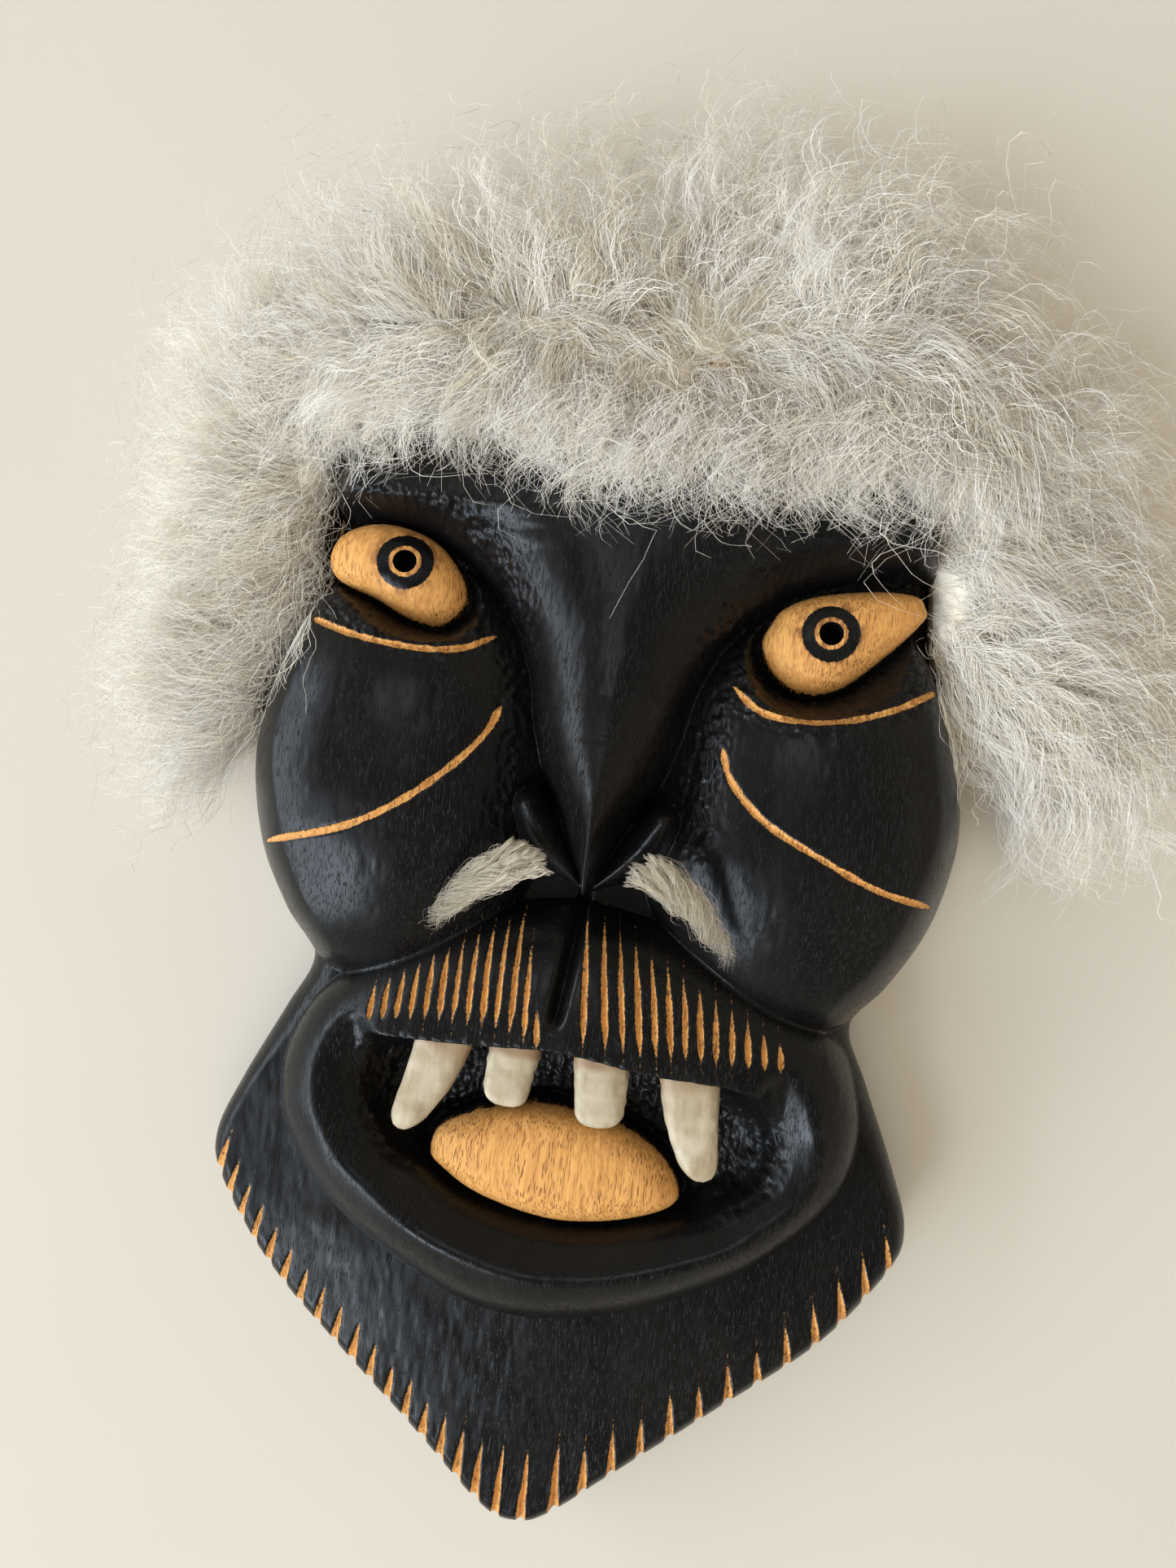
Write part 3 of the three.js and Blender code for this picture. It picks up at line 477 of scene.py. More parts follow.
def wood_material():
    s = Shader("mask_wood")
    grain = s.noise(s.scaled(900, 900, 40), detail=3, rough=0.6)
    pore_noise = s.noise(s.scaled(3300, 1500, 330), detail=1.5, rough=0.4)
    patches = s.noise(s.scaled(60, 60, 22), detail=2)
    pores = s.times(s.step(pore_noise, 0.58, 0.66), s.step(patches, 0.38, 0.6, 0.35, 1.0))
    ragged = s.noise(s.scaled(1500, 900, 1500), detail=2)
    bare_mm = s.plus(s.attribute("bare"), s.times(s.math("SUBTRACT", ragged, 0.5), 0.7))
    bare = s.step(bare_mm, -0.12, 0.2)
    # the stained ring and pupil of each eye
    dark_ring, bleed = None, None
    for (px, pz) in PUPILS:
        away = s.vector("SUBTRACT", s.coords, (px * MM, 0, (pz - HANG_Z) * MM))
        flat = s.vector("MULTIPLY", away, (1, 0, 1))
        d = s.add("VectorMath", {0: flat}, operation="LENGTH").outputs["Value"]
        d = s.plus(d, s.times(s.math("SUBTRACT", ragged, 0.5), 0.0007))
        ring = s.times(s.step(d, 0.0040, 0.0043), s.step(d, 0.0071, 0.0074, 1.0, 0.0))
        ring = s.math("MAXIMUM", ring, s.step(d, 0.0029, 0.0031, 1.0, 0.0))
        halo = s.step(d, 0.0072, 0.0105, 0.8, 0.0)
        dark_ring = ring if dark_ring is None else s.math("MAXIMUM", dark_ring, ring)
        bleed = halo if bleed is None else s.math("MAXIMUM", bleed, halo)
    bleed = s.times(bleed, s.step(s.noise(s.scaled(420, 420, 300), detail=3), 0.42, 0.62))
    gold = s.blend(s.step(grain, 0.36, 0.66), (0.72, 0.37, 0.108), (0.57, 0.26, 0.070))
    gold = s.blend(s.times(pores, 0.9), gold, (0.26, 0.10, 0.03))
    gold = s.blend(bleed, gold, (0.20, 0.075, 0.025))
    fleck = s.step(s.noise(s.scaled(1300, 900, 700), detail=2), 0.6, 0.68)
    fleck = s.times(s.times(fleck, s.attribute("cut")), 0.75)
    gold = s.blend(fleck, gold, (0.10, 0.045, 0.02))
    black = s.blend(s.step(patches, 0.35, 0.7), (0.0032, 0.0033, 0.0036), (0.0060, 0.0055, 0.0050))
    bare = s.times(bare, s.math("SUBTRACT", 1.0, dark_ring))
    front = s.blend(bare, black, gold)
    raw = s.blend(s.step(grain, 0.3, 0.7), (0.34, 0.19, 0.085), (0.21, 0.105, 0.045))
    spray = s.step(s.noise(s.scaled(45, 45, 30), detail=4, rough=0.7), 0.44, 0.66)
    raw = s.blend(s.times(spray, 0.6), raw, (0.03, 0.024, 0.02))
    # the hanger recess, 25 mm to each side, 12 mm down and 9 mm up, is cut after staining: its walls are raw
    side, deep, up = s.add("SeparateXYZ", {0: s.coords}).outputs
    recess = s.step(s.math("ABSOLUTE", side), 0.0253, 0.0255, 1.0, 0.0)
    recess = s.times(recess, s.step(deep, -0.0130, -0.0125))
    recess = s.times(recess, s.times(s.step(up, -0.0130, -0.0125), s.step(up, 0.0092, 0.0095, 1.0, 0.0)))
    back = s.math("MAXIMUM", s.attribute("back"), recess)
    s.feed("Base Color", s.blend(s.step(back, 0.35, 0.65), front, raw))
    rough = s.plus(s.step(s.noise(s.scaled(140, 140, 60), detail=4, rough=0.6), 0.3, 0.75, 0.24, 0.34),
                   s.times(pores, 0.2))
    rough = s.plus(rough, s.times(s.attribute("gouged"), 0.04))
    rough = s.math("MAXIMUM", rough, s.step(s.math("MAXIMUM", bare, back), 0, 1, 0.0, 0.6))
    s.feed("Roughness", rough)
    s.feed("Specular IOR Level", 0.26)
    height = s.math("SUBTRACT", s.times(grain, 0.15), pores)
    scars = s.noise(s.scaled(700, 700, 500), detail=3)
    height = s.plus(height, s.times(scars, s.times(s.attribute("gouged"), 1.6)))
    s.feed("Normal", s.bump(height, 0.00016))
    return s.mat


def bone_material():
    s = Shader("tooth_bone", Subsurface_Weight=0.12, Subsurface_Scale=0.002, Specular_IOR_Level=0.45)
    s.feed("Subsurface Radius", (1.0, 0.7, 0.4))
    streak = s.noise(s.scaled(500, 500, 90), detail=4, rough=0.6)
    cloud = s.noise(s.scaled(160, 160, 160), detail=3)
    color = s.blend(s.step(streak, 0.35, 0.7), (0.42, 0.35, 0.23), (0.33, 0.26, 0.155))
    color = s.blend(s.step(cloud, 0.35, 0.65), color, (0.50, 0.43, 0.31))
    # painted shade and glue: each tooth turns darker brown towards its neck, for glue at the joint and a
    # painted shadow of the gap where it enters the wood
    dark_ring = s.times(s.attribute("gum"), s.step(cloud, 0.3, 0.6, 0.55, 1.0))
    s.feed("Base Color", s.blend(dark_ring, color, (0.30, 0.19, 0.10)))
    s.feed("Roughness", s.step(streak, 0.3, 0.7, 0.36, 0.52))
    s.feed("Normal", s.bump(s.plus(streak, cloud), 0.00018))
    return s.mat


def hide_material():
    s = Shader("tanned_hide")
    n = s.noise(s.scaled(350, 350, 350), detail=4, rough=0.6)
    s.feed("Base Color", s.blend(s.step(n, 0.3, 0.7), (0.62, 0.45, 0.27), (0.45, 0.29, 0.16)))
    s.feed("Roughness", s.step(n, 0.3, 0.7, 0.62, 0.8))
    s.feed("Normal", s.bump(n, 0.0004))
    return s.mat


def wool_material(name, color):
    """Strand wool: one even colour for each strand, so colour changes between strands, not along them."""
    s = Shader(name, color, Specular_IOR_Level=0.35, Sheen_Weight=0.35, Sheen_Roughness=0.5)
    n = s.noise(s.scaled(900, 900, 900), detail=1)
    s.feed("Roughness", s.step(n, 0.3, 0.7, 0.45, 0.65))
    return s.mat


def steel_material():
    s = Shader("zinc_steel", Metallic=1.0)
    n = s.noise(s.scaled(300, 300, 300), detail=4, rough=0.65)
    s.feed("Base Color", s.blend(s.step(n, 0.4, 0.7), (0.55, 0.56, 0.57), (0.38, 0.36, 0.33)))
    s.feed("Roughness", s.step(n, 0.3, 0.7, 0.28, 0.5))
    s.feed("Normal", s.bump(n, 0.00005))
    return s.mat


WOOD, BONE, HIDE, STEEL = wood_material(), bone_material(), hide_material(), steel_material()
WOOL = [wool_material(f"wool_{i}", c) for i, c in enumerate([
    (0.95, 0.90, 0.80), (0.94, 0.86, 0.70), (0.88, 0.84, 0.77), (0.97, 0.95, 0.89), (0.80, 0.71, 0.56),
    (0.62, 0.55, 0.42), (0.46, 0.39, 0.28)])]
FELT = wool_material("wool_felt", (0.92, 0.85, 0.70))


# ---- the mask body
ROWS, FRONT, WALL, BACK = 700, 430, 6, 110   # sections, and the points of each over face, side wall and back
INSIDE = 0.94                                # share of the points over the back that lie inside the rim


def mask_rows():
    """Heights of the sections: even along the outline and down the face together."""
    arc = np.concatenate([[0], np.cumsum(np.hypot(*np.diff(HALF, axis=0).T))])
    z = -HALF[:, 1]
    way = arc / arc[-1] + (z - z[0]) / (z[-1] - z[0])
    rows = -np.interp(np.linspace(0, 2, ROWS), way, z)
    return np.clip(rows, -199.2, 118.9)


def mask_body():
    z = mask_rows()[:, None]
    half = edge_x(z)
    u = np.linspace(-1, 1, FRONT)[None]
    x = half * u
    zz = z + 0 * x
    h, bare, gouged, edge = fine_face(x, zz)
    cut = (bare > -0.6) & (np.minimum(*[e.share(x, zz) for e in EYES]) > 1.1) & (TONGUE.share(x, zz) > 1.1)
    # right side wall down to the back, the back from right to left, and the left side wall up again
    t = (np.arange(1, WALL + 1) / (WALL + 1))[None]
    wall_h = SIDE_H * (1 - t)
    wave = 0.22 * noise(zz[:, :1] + 0 * t, wall_h + 0 * z, 5, 11)
    right_x, wall_h = half + wave, wall_h + 0 * z
    v = 1 - 2 * np.arange(BACK)[None] / (BACK - 1)
    rim_share = np.maximum(half - RIM, half * 0.3) / half
    over_rim = np.sign(v) * mix(rim_share, 1, (np.abs(v) - INSIDE) / (1 - INSIDE))
    bx = half * np.where(np.abs(v) > INSIDE, over_rim, v / INSIDE * rim_share)
    bz = z + 0 * bx
    b_edge = nearest(HALF, np.abs(bx), bz)[0]
    bh = hollow(bx, bz, b_edge)
    chisel = facets(bx, bz * 0.45, 7.5, 21)
    bh = np.where(bh > 0, bh + np.minimum(bh / 4, 1) * (1.0 * chisel + 0.5 * noise(bx, bz, 9, 22)), 0)
    left_x = (-half - wave)[:, ::-1]
    xs = np.concatenate([x, right_x, bx, left_x], 1)
    hs = np.concatenate([h, wall_h, bh, wall_h[:, ::-1]], 1)
    loops = place(xs, hs, z + 0 * xs)
    zeros = np.zeros_like(wall_h)
    gap = {"bare": (bare, -3.0), "gouged": (gouged, 0.0), "cut": (cut * 1.0, 0.0)}
    attributes = {key: np.concatenate([value, zeros + fill, bx * 0 + fill, zeros + fill], 1)
                  for key, (value, fill) in gap.items()}
    stained = ramp(1.0, 6.0, b_edge + 3 * noise(bx, bz, 8, 23))
    attributes["back"] = np.concatenate([bare * 0, zeros, stained, zeros], 1)
    return loft("carved_mask", loops, [WOOD], attributes)


def cutter(name, parts):
    """One mesh of prisms: each is a ring of (x, z) points between two heights."""
    verts, quads, tris, at = [], [], [], 0
    for ring, low, high in parts:
        n = len(ring)
        ring = np.array(ring, float)
        verts += [place(ring[:, 0], np.full(n, h), ring[:, 1]) for h in (low, high)]
        j = np.arange(n)
        k = (j + 1) % n
        quads.append(at + np.stack([j, k, k + n, j + n], -1))
        fan = np.stack([j[:-2] * 0, j[2:], j[1:-1]], -1)
        tris += [at + fan, at + n + fan[:, ::-1]]
        at += 2 * n
    stained = {"bare": np.full(at, -3.0), "gouged": np.zeros(at), "cut": np.zeros(at), "back": np.zeros(at)}
    faces = [np.concatenate(quads), np.concatenate(tris)]
    return make_mesh(name, np.concatenate(verts), faces, [WOOD], smooth=False, attributes=stained)


def ring_of(x, z, r, n=40):
    t = np.linspace(0, 2 * np.pi, n, endpoint=False)
    return np.stack([x + r * np.cos(t), z + r * np.sin(t)], -1)


def box_of(half, low, high):
    """A rectangle about x = 0, with its low and high edge counted from the hanging point."""
    return [(-half, HANG_Z + low), (half, HANG_Z + low), (half, HANG_Z + high), (-half, HANG_Z + high)]


NAIL_X, NAIL_Z, NAIL_HOLE_R, NAIL_HOLE_END = 19, 3.5, 1.0, 12.5
PUPIL_HOLES = [(ring_of(x, z, PUPIL_R), 30, 60) for x, z in PUPILS]
PLATE_RECESS = (box_of(25, -3, 9), -2, 2.5)
HOOK_SLOT = (box_of(15, -12, 4), -2, 9)
NAIL_HOLES = [(ring_of(s * NAIL_X, HANG_Z + NAIL_Z, NAIL_HOLE_R, 16), 1, NAIL_HOLE_END) for s in (-1, 1)]
CUTS = [PUPIL_HOLES + [PLATE_RECESS], [HOOK_SLOT] + NAIL_HOLES]   # no two cutters overlap in one pass

body = mask_body()
tools = [cutter(f"tool_{i}", parts) for i, parts in enumerate(CUTS)]
for tool in tools:
    shave = body.modifiers.new("cut", "BOOLEAN")
    shave.operation, shave.object, shave.solver = "DIFFERENCE", tool, "MANIFOLD"
bpy.context.view_layer.update()
carved = bpy.data.meshes.new_from_object(body.evaluated_get(bpy.context.evaluated_depsgraph_get()))
body.modifiers.clear()
body.data = carved
for tool in tools:
    bpy.data.objects.remove(tool)
stands_for(body, "mask_body")

# ---- teeth
TEETH = {   # neck x, z; tip x, z; half width at neck and tip; half depth; bend of the middle sideways
    "tooth_fang_left": (-31.3, -71, -39.6, -93.0, 7.1, 3.3, 4.4, 0.8),
    "tooth_incisor_left": (-13, -70.5, -13.8, -84.0, 6.4, 5.3, 4.0, -0.3),
    "tooth_incisor_right": (9, -71, 10.0, -86.2, 6.9, 5.7, 4.0, 0.2),
    "tooth_fang_right": (31.6, -72.5, 37.5, -95.6, 7.5, 4.0, 4.6, -0.9),
}


def tooth(name, spec, seed):
    nx, nz, tx, tz, w0, w1, depth, bend = spec
    length = math.hypot(tx - nx, tz - nz)
    ux, uz = (tx - nx) / length, (tz - nz) / length
    t = np.concatenate([[-7 / length, -3 / length], np.linspace(0, 1, 34)])
    a = np.linspace(0, 2 * np.pi, 56, endpoint=False)
    tip = np.clip((t - 0.70) / 0.30, 0, 1)
    cap = np.maximum(0, 1 - tip**2.8) ** 0.5 * 0.98 + 0.02
    wide = mix(w0, w1, np.clip(t, 0, 1) ** 1.4) * cap
    deep = mix(depth, depth * 0.62, np.clip(t, 0, 1)) * cap
    c, s = np.cos(a)[None], np.sin(a)[None]
    squareness = 2 / 3
    across = wide[:, None] * np.sign(c) * np.abs(c) ** squareness
    out = deep[:, None] * np.sign(s) * np.abs(s) ** squareness
    rough = 1 + 0.035 * noise(a[None] * 3 + seed, t[:, None] * 9, 1.0, seed)
    across, out = across * rough, out * rough
    mid = bend * np.sin(np.pi * np.clip(t, 0, 1))[:, None]
    x = nx + ux * length * t[:, None] + uz * -(across + mid)
    z = nz + uz * length * t[:, None] + ux * (across + mid)
    h = 44 + 3 * np.clip(t, 0, 1)[:, None] ** 1.5 + out
    # the neck of each tooth, which the bone material darkens for glue and painted shade
    gum = np.repeat(ramp(0.16, -0.02, t)[:, None], len(a), 1)
    ob = loft(name.replace("tooth", "bone"), place(x, h, z), [BONE], {"gum": gum})
    stands_for(ob, name)


for seed, (name, spec) in enumerate(TEETH.items()):
    tooth(name, spec, seed + 1)

# ---- wool
STEP = 1.0
GX, GZ = np.arange(-100, 100 + STEP, STEP), np.arange(-210, 125 + STEP, STEP)
map_x, map_z = np.meshgrid(GX, GZ, indexing="ij")
FACE_MAP = relief(map_x, map_z, nearest(HALF, np.abs(map_x), map_z)[0])
FACE_MAP[np.abs(map_x) > edge_x(map_z) + 0.5] = 0
FACE_MAP[(map_z > 119.5) | (map_z < -205.5)] = 0


def face_at(x, z):
    i = np.clip((x - GX[0]) / STEP, 0, len(GX) - 1.001)
    j = np.clip((z - GZ[0]) / STEP, 0, len(GZ) - 1.001)
    i0, j0 = i.astype(int), j.astype(int)
    fi, fj = i - i0, j - j0
    return (mix(mix(FACE_MAP[i0, j0], FACE_MAP[i0 + 1, j0], fi),
                mix(FACE_MAP[i0, j0 + 1], FACE_MAP[i0 + 1, j0 + 1], fi), fj))


def unit(v):
    return v / np.maximum(np.linalg.norm(v, axis=-1, keepdims=True), 1e-9)


def bezier(points, t):
    a, b, c, d = (p[:, None] for p in points)
    return (1 - t) ** 3 * a + 3 * (1 - t) ** 2 * t * b + 3 * (1 - t) * t**2 * c + t**3 * d


FREE_LEFT, FREE_RIGHT, FREE_FRONT = 142.0, 170.0, 64.0


def drawn_in(path):
    """Wool that flies out past the free reach at a side or in front keeps half of what is beyond it."""
    x, h = path[..., 0], path[..., 1]
    path[..., 0] = x - 0.5 * np.maximum(0, x - FREE_RIGHT) + 0.5 * np.maximum(0, -FREE_LEFT - x)
    path[..., 1] = h - 0.5 * np.maximum(0, h - FREE_FRONT)
    return path


def locks(rng, route, across, count, spread, wave, crimp, radius=0.09, points=12, own=0.3, low=0.6):
    """Curly locks of wool as strand paths in (x, h, z) mm.

    route is the four control points of each lock, across the way it waves. spread is the scatter at root and
    tip, wave and crimp are (size, length) of the shared wave and of each strand's own fine one, own the
    share of strands that go their own way, low the least height over the wood.
    """
    n = len(across)
    m = n * count
    free = (rng.uniform(0, 1, (m, 1)) < own) * 1.6 + 1
    a, b, c, d = (np.repeat(p, count, 0) for p in route)
    shift = rng.normal(0, 1, (m, 3))
    a = a + shift * spread[0] * (1, 0.4, 1)
    b = b + (0.5 * shift + 0.5 * rng.normal(0, 1, (m, 3))) * mix(*spread, 0.35) * free
    c = c + (0.4 * shift + 0.6 * rng.normal(0, 1, (m, 3))) * mix(*spread, 0.7) * free
    d = d + (0.3 * shift + 0.7 * rng.normal(0, 1, (m, 3))) * spread[1] * free
    length = np.linalg.norm(d - a, axis=1) * 1.2
    t = np.linspace(0, 1, points)[None, :, None] * rng.uniform(0.7, 1.0, (m, 1, 1))
    path = bezier((a, b, c, d), t)
    way = unit(d - a)
    side = unit(np.repeat(across, count, 0) + 0.25 * rng.normal(size=(m, 3)))
    other = unit(np.cross(way, side))
    grown = np.minimum(1, t[..., 0] * 2.5)
    phase = np.repeat(rng.uniform(0, 2 * np.pi, n), count) + rng.normal(0, 0.45, m) * free[:, 0]
    long = np.repeat(wave[1] * rng.uniform(0.7, 1.4, n), count) * rng.uniform(0.92, 1.08, m)
    turn = 2 * np.pi * t[..., 0] * (length / long)[:, None] + phase[:, None]
    big = wave[0] * np.repeat(rng.uniform(0.5, 1.5, n), count)[:, None] * grown * (0.45 + 0.9 * t[..., 0])
    fine = crimp[0] * rng.uniform(0.4, 1.7, (m, 1)) * grown
    fine_turn = 2 * np.pi * t[..., 0] * (length / (crimp[1] * rng.uniform(0.7, 1.4, m)))[:, None]
    fine_turn += rng.uniform(0, 2 * np.pi, (m, 1))
    path = path + (big * np.sin(turn) + fine * np.sin(fine_turn))[..., None] * side[:, None]
    path = path + (0.6 * big * np.cos(turn) + fine * np.cos(fine_turn))[..., None] * other[:, None]
    path = drawn_in(path)
    x, h, z = path[..., 0], path[..., 1], path[..., 2]
    path[..., 1] = np.maximum(h, np.maximum(face_at(x, z) + low, 0.6) + 0.5 * rng.uniform(0, 1, (m, 1)))
    thick = radius * rng.uniform(0.7, 1.3, (m, 1)) * (1 - 0.7 * t[..., 0] ** 1.5)
    return path, thick, side, other


MAX_STRAND_TRIANGLES = 190000
piece_count = {}


def wool_pieces(prefix, node, batches, shades, seed):
    """Turns strand paths into three-sided closed tubes, in pieces small enough to export whole.

    batches holds (strands in a lock, paths). Most strands of a lock share one shade of wool.
    """
    rng = np.random.default_rng(seed)
    for count, (path, thick, side, other) in batches:
        m, points = path.shape[:2]
        shade = np.repeat(rng.choice(len(shades), m // count, p=shades), count)
        shade = np.where(rng.uniform(0, 1, m) < 0.35, rng.choice(len(shades), m, p=shades), shade)
        per = max(1, MAX_STRAND_TRIANGLES // (6 * (points - 1) + 2))
        order = rng.permutation(m)
        for start in range(0, m, per):
            pick = order[start:start + per]
            p, r = path[pick], thick[pick]
            ring = []
            for k in range(3):
                c, s = math.cos(2 * math.pi * k / 3), math.sin(2 * math.pi * k / 3)
                ring.append(p + r[..., None] * (c * side[pick][:, None] + s * other[pick][:, None]))
            v = np.stack(ring, 2).reshape(-1, 3)
            base = (np.arange(len(pick)) * points * 3)[:, None, None]
            i = (np.arange(points - 1) * 3)[None, :, None]
            j = np.arange(3)[None, None]
            k = (j + 1) % 3
            at = base + i
            quads = np.stack([at + j, at + k, at + 3 + k, at + 3 + j], -1).reshape(-1, 4)
            b = base[:, 0, 0]
            last = b + (points - 1) * 3
            tris = np.concatenate([np.stack([b, b + 2, b + 1], -1), np.stack([last, last + 1, last + 2], -1)])
            slots = np.concatenate([np.repeat(shade[pick], (points - 1) * 3), shade[pick], shade[pick]])
            piece_count[prefix] = piece_count.get(prefix, 0) + 1
            name = f"{prefix}_{piece_count[prefix]}"
            verts = place(v[:, 0], v[:, 1], v[:, 2])
            stands_for(make_mesh(name, verts, [quads, tris], WOOL, slots=slots), node)


class Pelt:
    """A felted pad of wool between two lines over the head: the base that the locks stand on."""

    def __init__(self, inner, outer, base, rise, seed):
        self.inner, self.outer = (curve(line, 6) for line in (inner, outer))
        self.base, self.rise, self.seed = base, rise, seed

    def at(self, v, s):
        (ix, iz), (ox, oz) = ([np.interp(v, np.linspace(0, 1, len(line)), line[:, i]) for i in (0, 1)]
                              for line in (self.inner, self.outer))
        x, z = mix(ix, ox, s), mix(iz, oz, s)
        lumps = 0.75 + 0.4 * noise(x, z, 17, self.seed) + 0.2 * noise(x, z, 8, self.seed + 1)
        hump = self.rise * np.maximum(0, 1 - np.abs(2 * s - 1) ** 2.6) ** 0.5 * lumps
        ends = np.maximum(0, 1 - np.abs(2 * v - 1) ** 8)
        h = mix(self.base, 2.5, np.clip(s, 0, 1) ** 1.3) + hump * ends
        ground = np.maximum(face_at(x, z) + 0.7, 0.7)
        return np.stack([x, np.maximum(h, ground + 0.6), z], -1), ground

    def body(self, name, node):
        v, s = np.linspace(0, 1, 150)[:, None], np.linspace(0, 1, 60)[None]
        top, ground = self.at(v + 0 * s, s + 0 * v)
        under = top.copy()
        under[..., 1] = ground
        ring = np.concatenate([top, under[:, ::-1]], 1)
        ob = loft(name, place(ring[..., 0], ring[..., 1], ring[..., 2]), [FELT, HIDE], flip=True)
        skin = np.tile(np.arange(120) >= 60, 149)                      # the underside is the bare skin
        skin = np.concatenate([skin, np.zeros(len(ob.data.polygons) - len(skin), bool)])
        ob.data.polygons.foreach_set("material_index", skin.astype(np.int32))
        stands_for(ob, node)

    def frame(self, v, s):
        """Points on the pad with the way straight off it."""
        p = self.at(v, s)[0]
        dv, ds = self.at(v + 0.01, s)[0] - p, self.at(v, s + 0.02)[0] - p
        n = unit(np.cross(dv, ds))
        return p, n * np.where(n[:, 1:2] < 0, -1, 1)


def standing_locks(rng, pelt, n, flow, length, lift, s_range=(0.02, 0.98), turn=1.5, **style):
    """Locks that stand off a pad and bend over along flow(x, z), turned up to turn radians by patches."""
    v, s = rng.uniform(0.01, 0.99, n), mix(*s_range, rng.uniform(0, 1, n) ** 1.35)
    root, normal = pelt.frame(v, s)
    fx, fz = flow(root[:, 0], root[:, 2])
    swirl = turn * noise(root[:, 0], root[:, 2], 24, pelt.seed + 3) + 0.3 * rng.normal(0, 1, n)
    fx, fz = fx * np.cos(swirl) - fz * np.sin(swirl), fx * np.sin(swirl) + fz * np.cos(swirl)
    way = unit(np.stack([fx, 0 * fx, fz], 1))
    far = (length * rng.uniform(0.6, 1.15, n))[:, None]
    up = normal * lift * rng.uniform(0.6, 1.3, (n, 1))
    stray = rng.normal(0, 0.10, (n, 3)) * far
    route = (root - normal, root + up * far * 0.8 + way * far * 0.12,
             root + up * far * 0.8 + way * far * 0.65 + stray,
             root + up * far * 0.3 + way * far + stray * 1.3)
    across = unit(np.cross(way, normal))
    return locks(rng, route, across, **style)


def crown_flow(x, z):
    """Up and outward at the back, down over the forehead, and sideways in tufts where the two part."""
    up = ramp(-15, 15, z - 110 + 0.0009 * x**2 + 7 * noise(x, z, 19, 77))
    return x * 0.012 + 0.9 * noise(x, z, 15, 78) * (1 - np.abs(2 * up - 1)), mix(-1.0, 1.0, up)


CROWN = Pelt([(-78, 96), (-60, 99), (-40, 94), (-10, 91), (30, 90), (58, 92), (77, 90)],
             [(-86, 104), (-78, 120), (-56, 134), (-28, 146), (4, 151), (36, 162), (54, 157), (67, 135),
              (84, 106)], 46, 15, 71)
LEFT = Pelt([(-83, 106), (-84, 86), (-86, 68), (-89, 46), (-94, 28), (-99, 8)],
            [(-103, 112), (-116, 94), (-117, 66), (-116, 40), (-111, 14), (-103, -2)], 26, 13, 81)
RIGHT = Pelt([(79, 104), (80, 86), (80, 68), (82, 46), (86, 32), (91, 20)],
             [(90, 112), (106, 92), (124, 70), (135, 50), (131, 28), (114, 18)], 28, 14, 91)


STRAY = dict(count=1, spread=(1, 4), radius=0.10)


def crown():
    rng = np.random.default_rng(41)
    CROWN.body("felt_crown", "fleece_crown")
    curly = dict(count=20, spread=(1.3, 1.7), wave=(4.4, 24), crimp=(0.22, 7), points=15, own=0.2)
    top = standing_locks(rng, CROWN, 720, crown_flow, 35, 0.30, s_range=(0.12, 1.0), **curly)
    mid = standing_locks(rng, CROWN, 380, crown_flow, 25, 0.28, s_range=(0.0, 0.45), **curly)
    guard = standing_locks(rng, CROWN, 330, crown_flow, 42, 0.42, s_range=(0.1, 1.0), count=3,
                           spread=(0.5, 1.2), wave=(6.5, 26), crimp=(0.5, 9), radius=0.13, points=26)
    stray = standing_locks(rng, CROWN, 1100, crown_flow, 42, 0.55, s_range=(0.3, 1.0), wave=(6, 20),
                           crimp=(0.9, 8), points=24, **STRAY)
    share = [0.32, 0.26, 0.12, 0.24, 0.06]
    wool_pieces("wool_crown", "fleece_crown", [(20, top), (20, mid), (3, guard), (1, stray)], share, 1)


def sides():
    rng = np.random.default_rng(42)
    LEFT.body("felt_left", "fleece_left")
    RIGHT.body("felt_right", "fleece_right")

    def left_flow(x, z):
        return -1.0 + 0 * x, mix(-1.2, 0.7, ramp(10, 115, z))

    def right_flow(x, z):
        return 1.0 + 0 * x, mix(-0.2, 0.15, ramp(20, 115, z))

    soft = dict(count=22, spread=(1.8, 2.6), wave=(3.4, 24), crimp=(0.3, 7), points=14, own=0.3)
    left = standing_locks(rng, LEFT, 560, left_flow, 32, 0.3, s_range=(0.0, 0.98), turn=0.9, **soft)
    stray = standing_locks(rng, LEFT, 520, left_flow, 38, 0.6, turn=0.9, wave=(5.5, 20), crimp=(0.9, 8),
                           points=22, **STRAY)
    share = [0.30, 0.36, 0.10, 0.16, 0.08]
    wool_pieces("wool_left", "fleece_left", [(22, left), (1, stray)], share, 2)
    sweep = dict(count=22, spread=(1.3, 1.8), wave=(4.0, 28), crimp=(0.22, 8), points=15, own=0.18)
    right = standing_locks(rng, RIGHT, 560, right_flow, 35, 0.28, s_range=(0.0, 0.98), turn=0.9, **sweep)
    stray = standing_locks(rng, RIGHT, 620, right_flow, 42, 0.5, s_range=(0.3, 0.98), turn=0.7,
                           wave=(5.5, 24), crimp=(0.8, 8), points=22, **STRAY)
    share = [0.34, 0.20, 0.08, 0.34, 0.04]
    wool_pieces("wool_right", "fleece_right", [(22, right), (1, stray)], share, 3)


# lowest wool over the forehead, by x
HAIRLINE = [(-81, 84), (-57, 79), (-40, 74), (-25, 68), (-2, 63), (21, 62), (43, 66), (64, 74), (76, 79)]


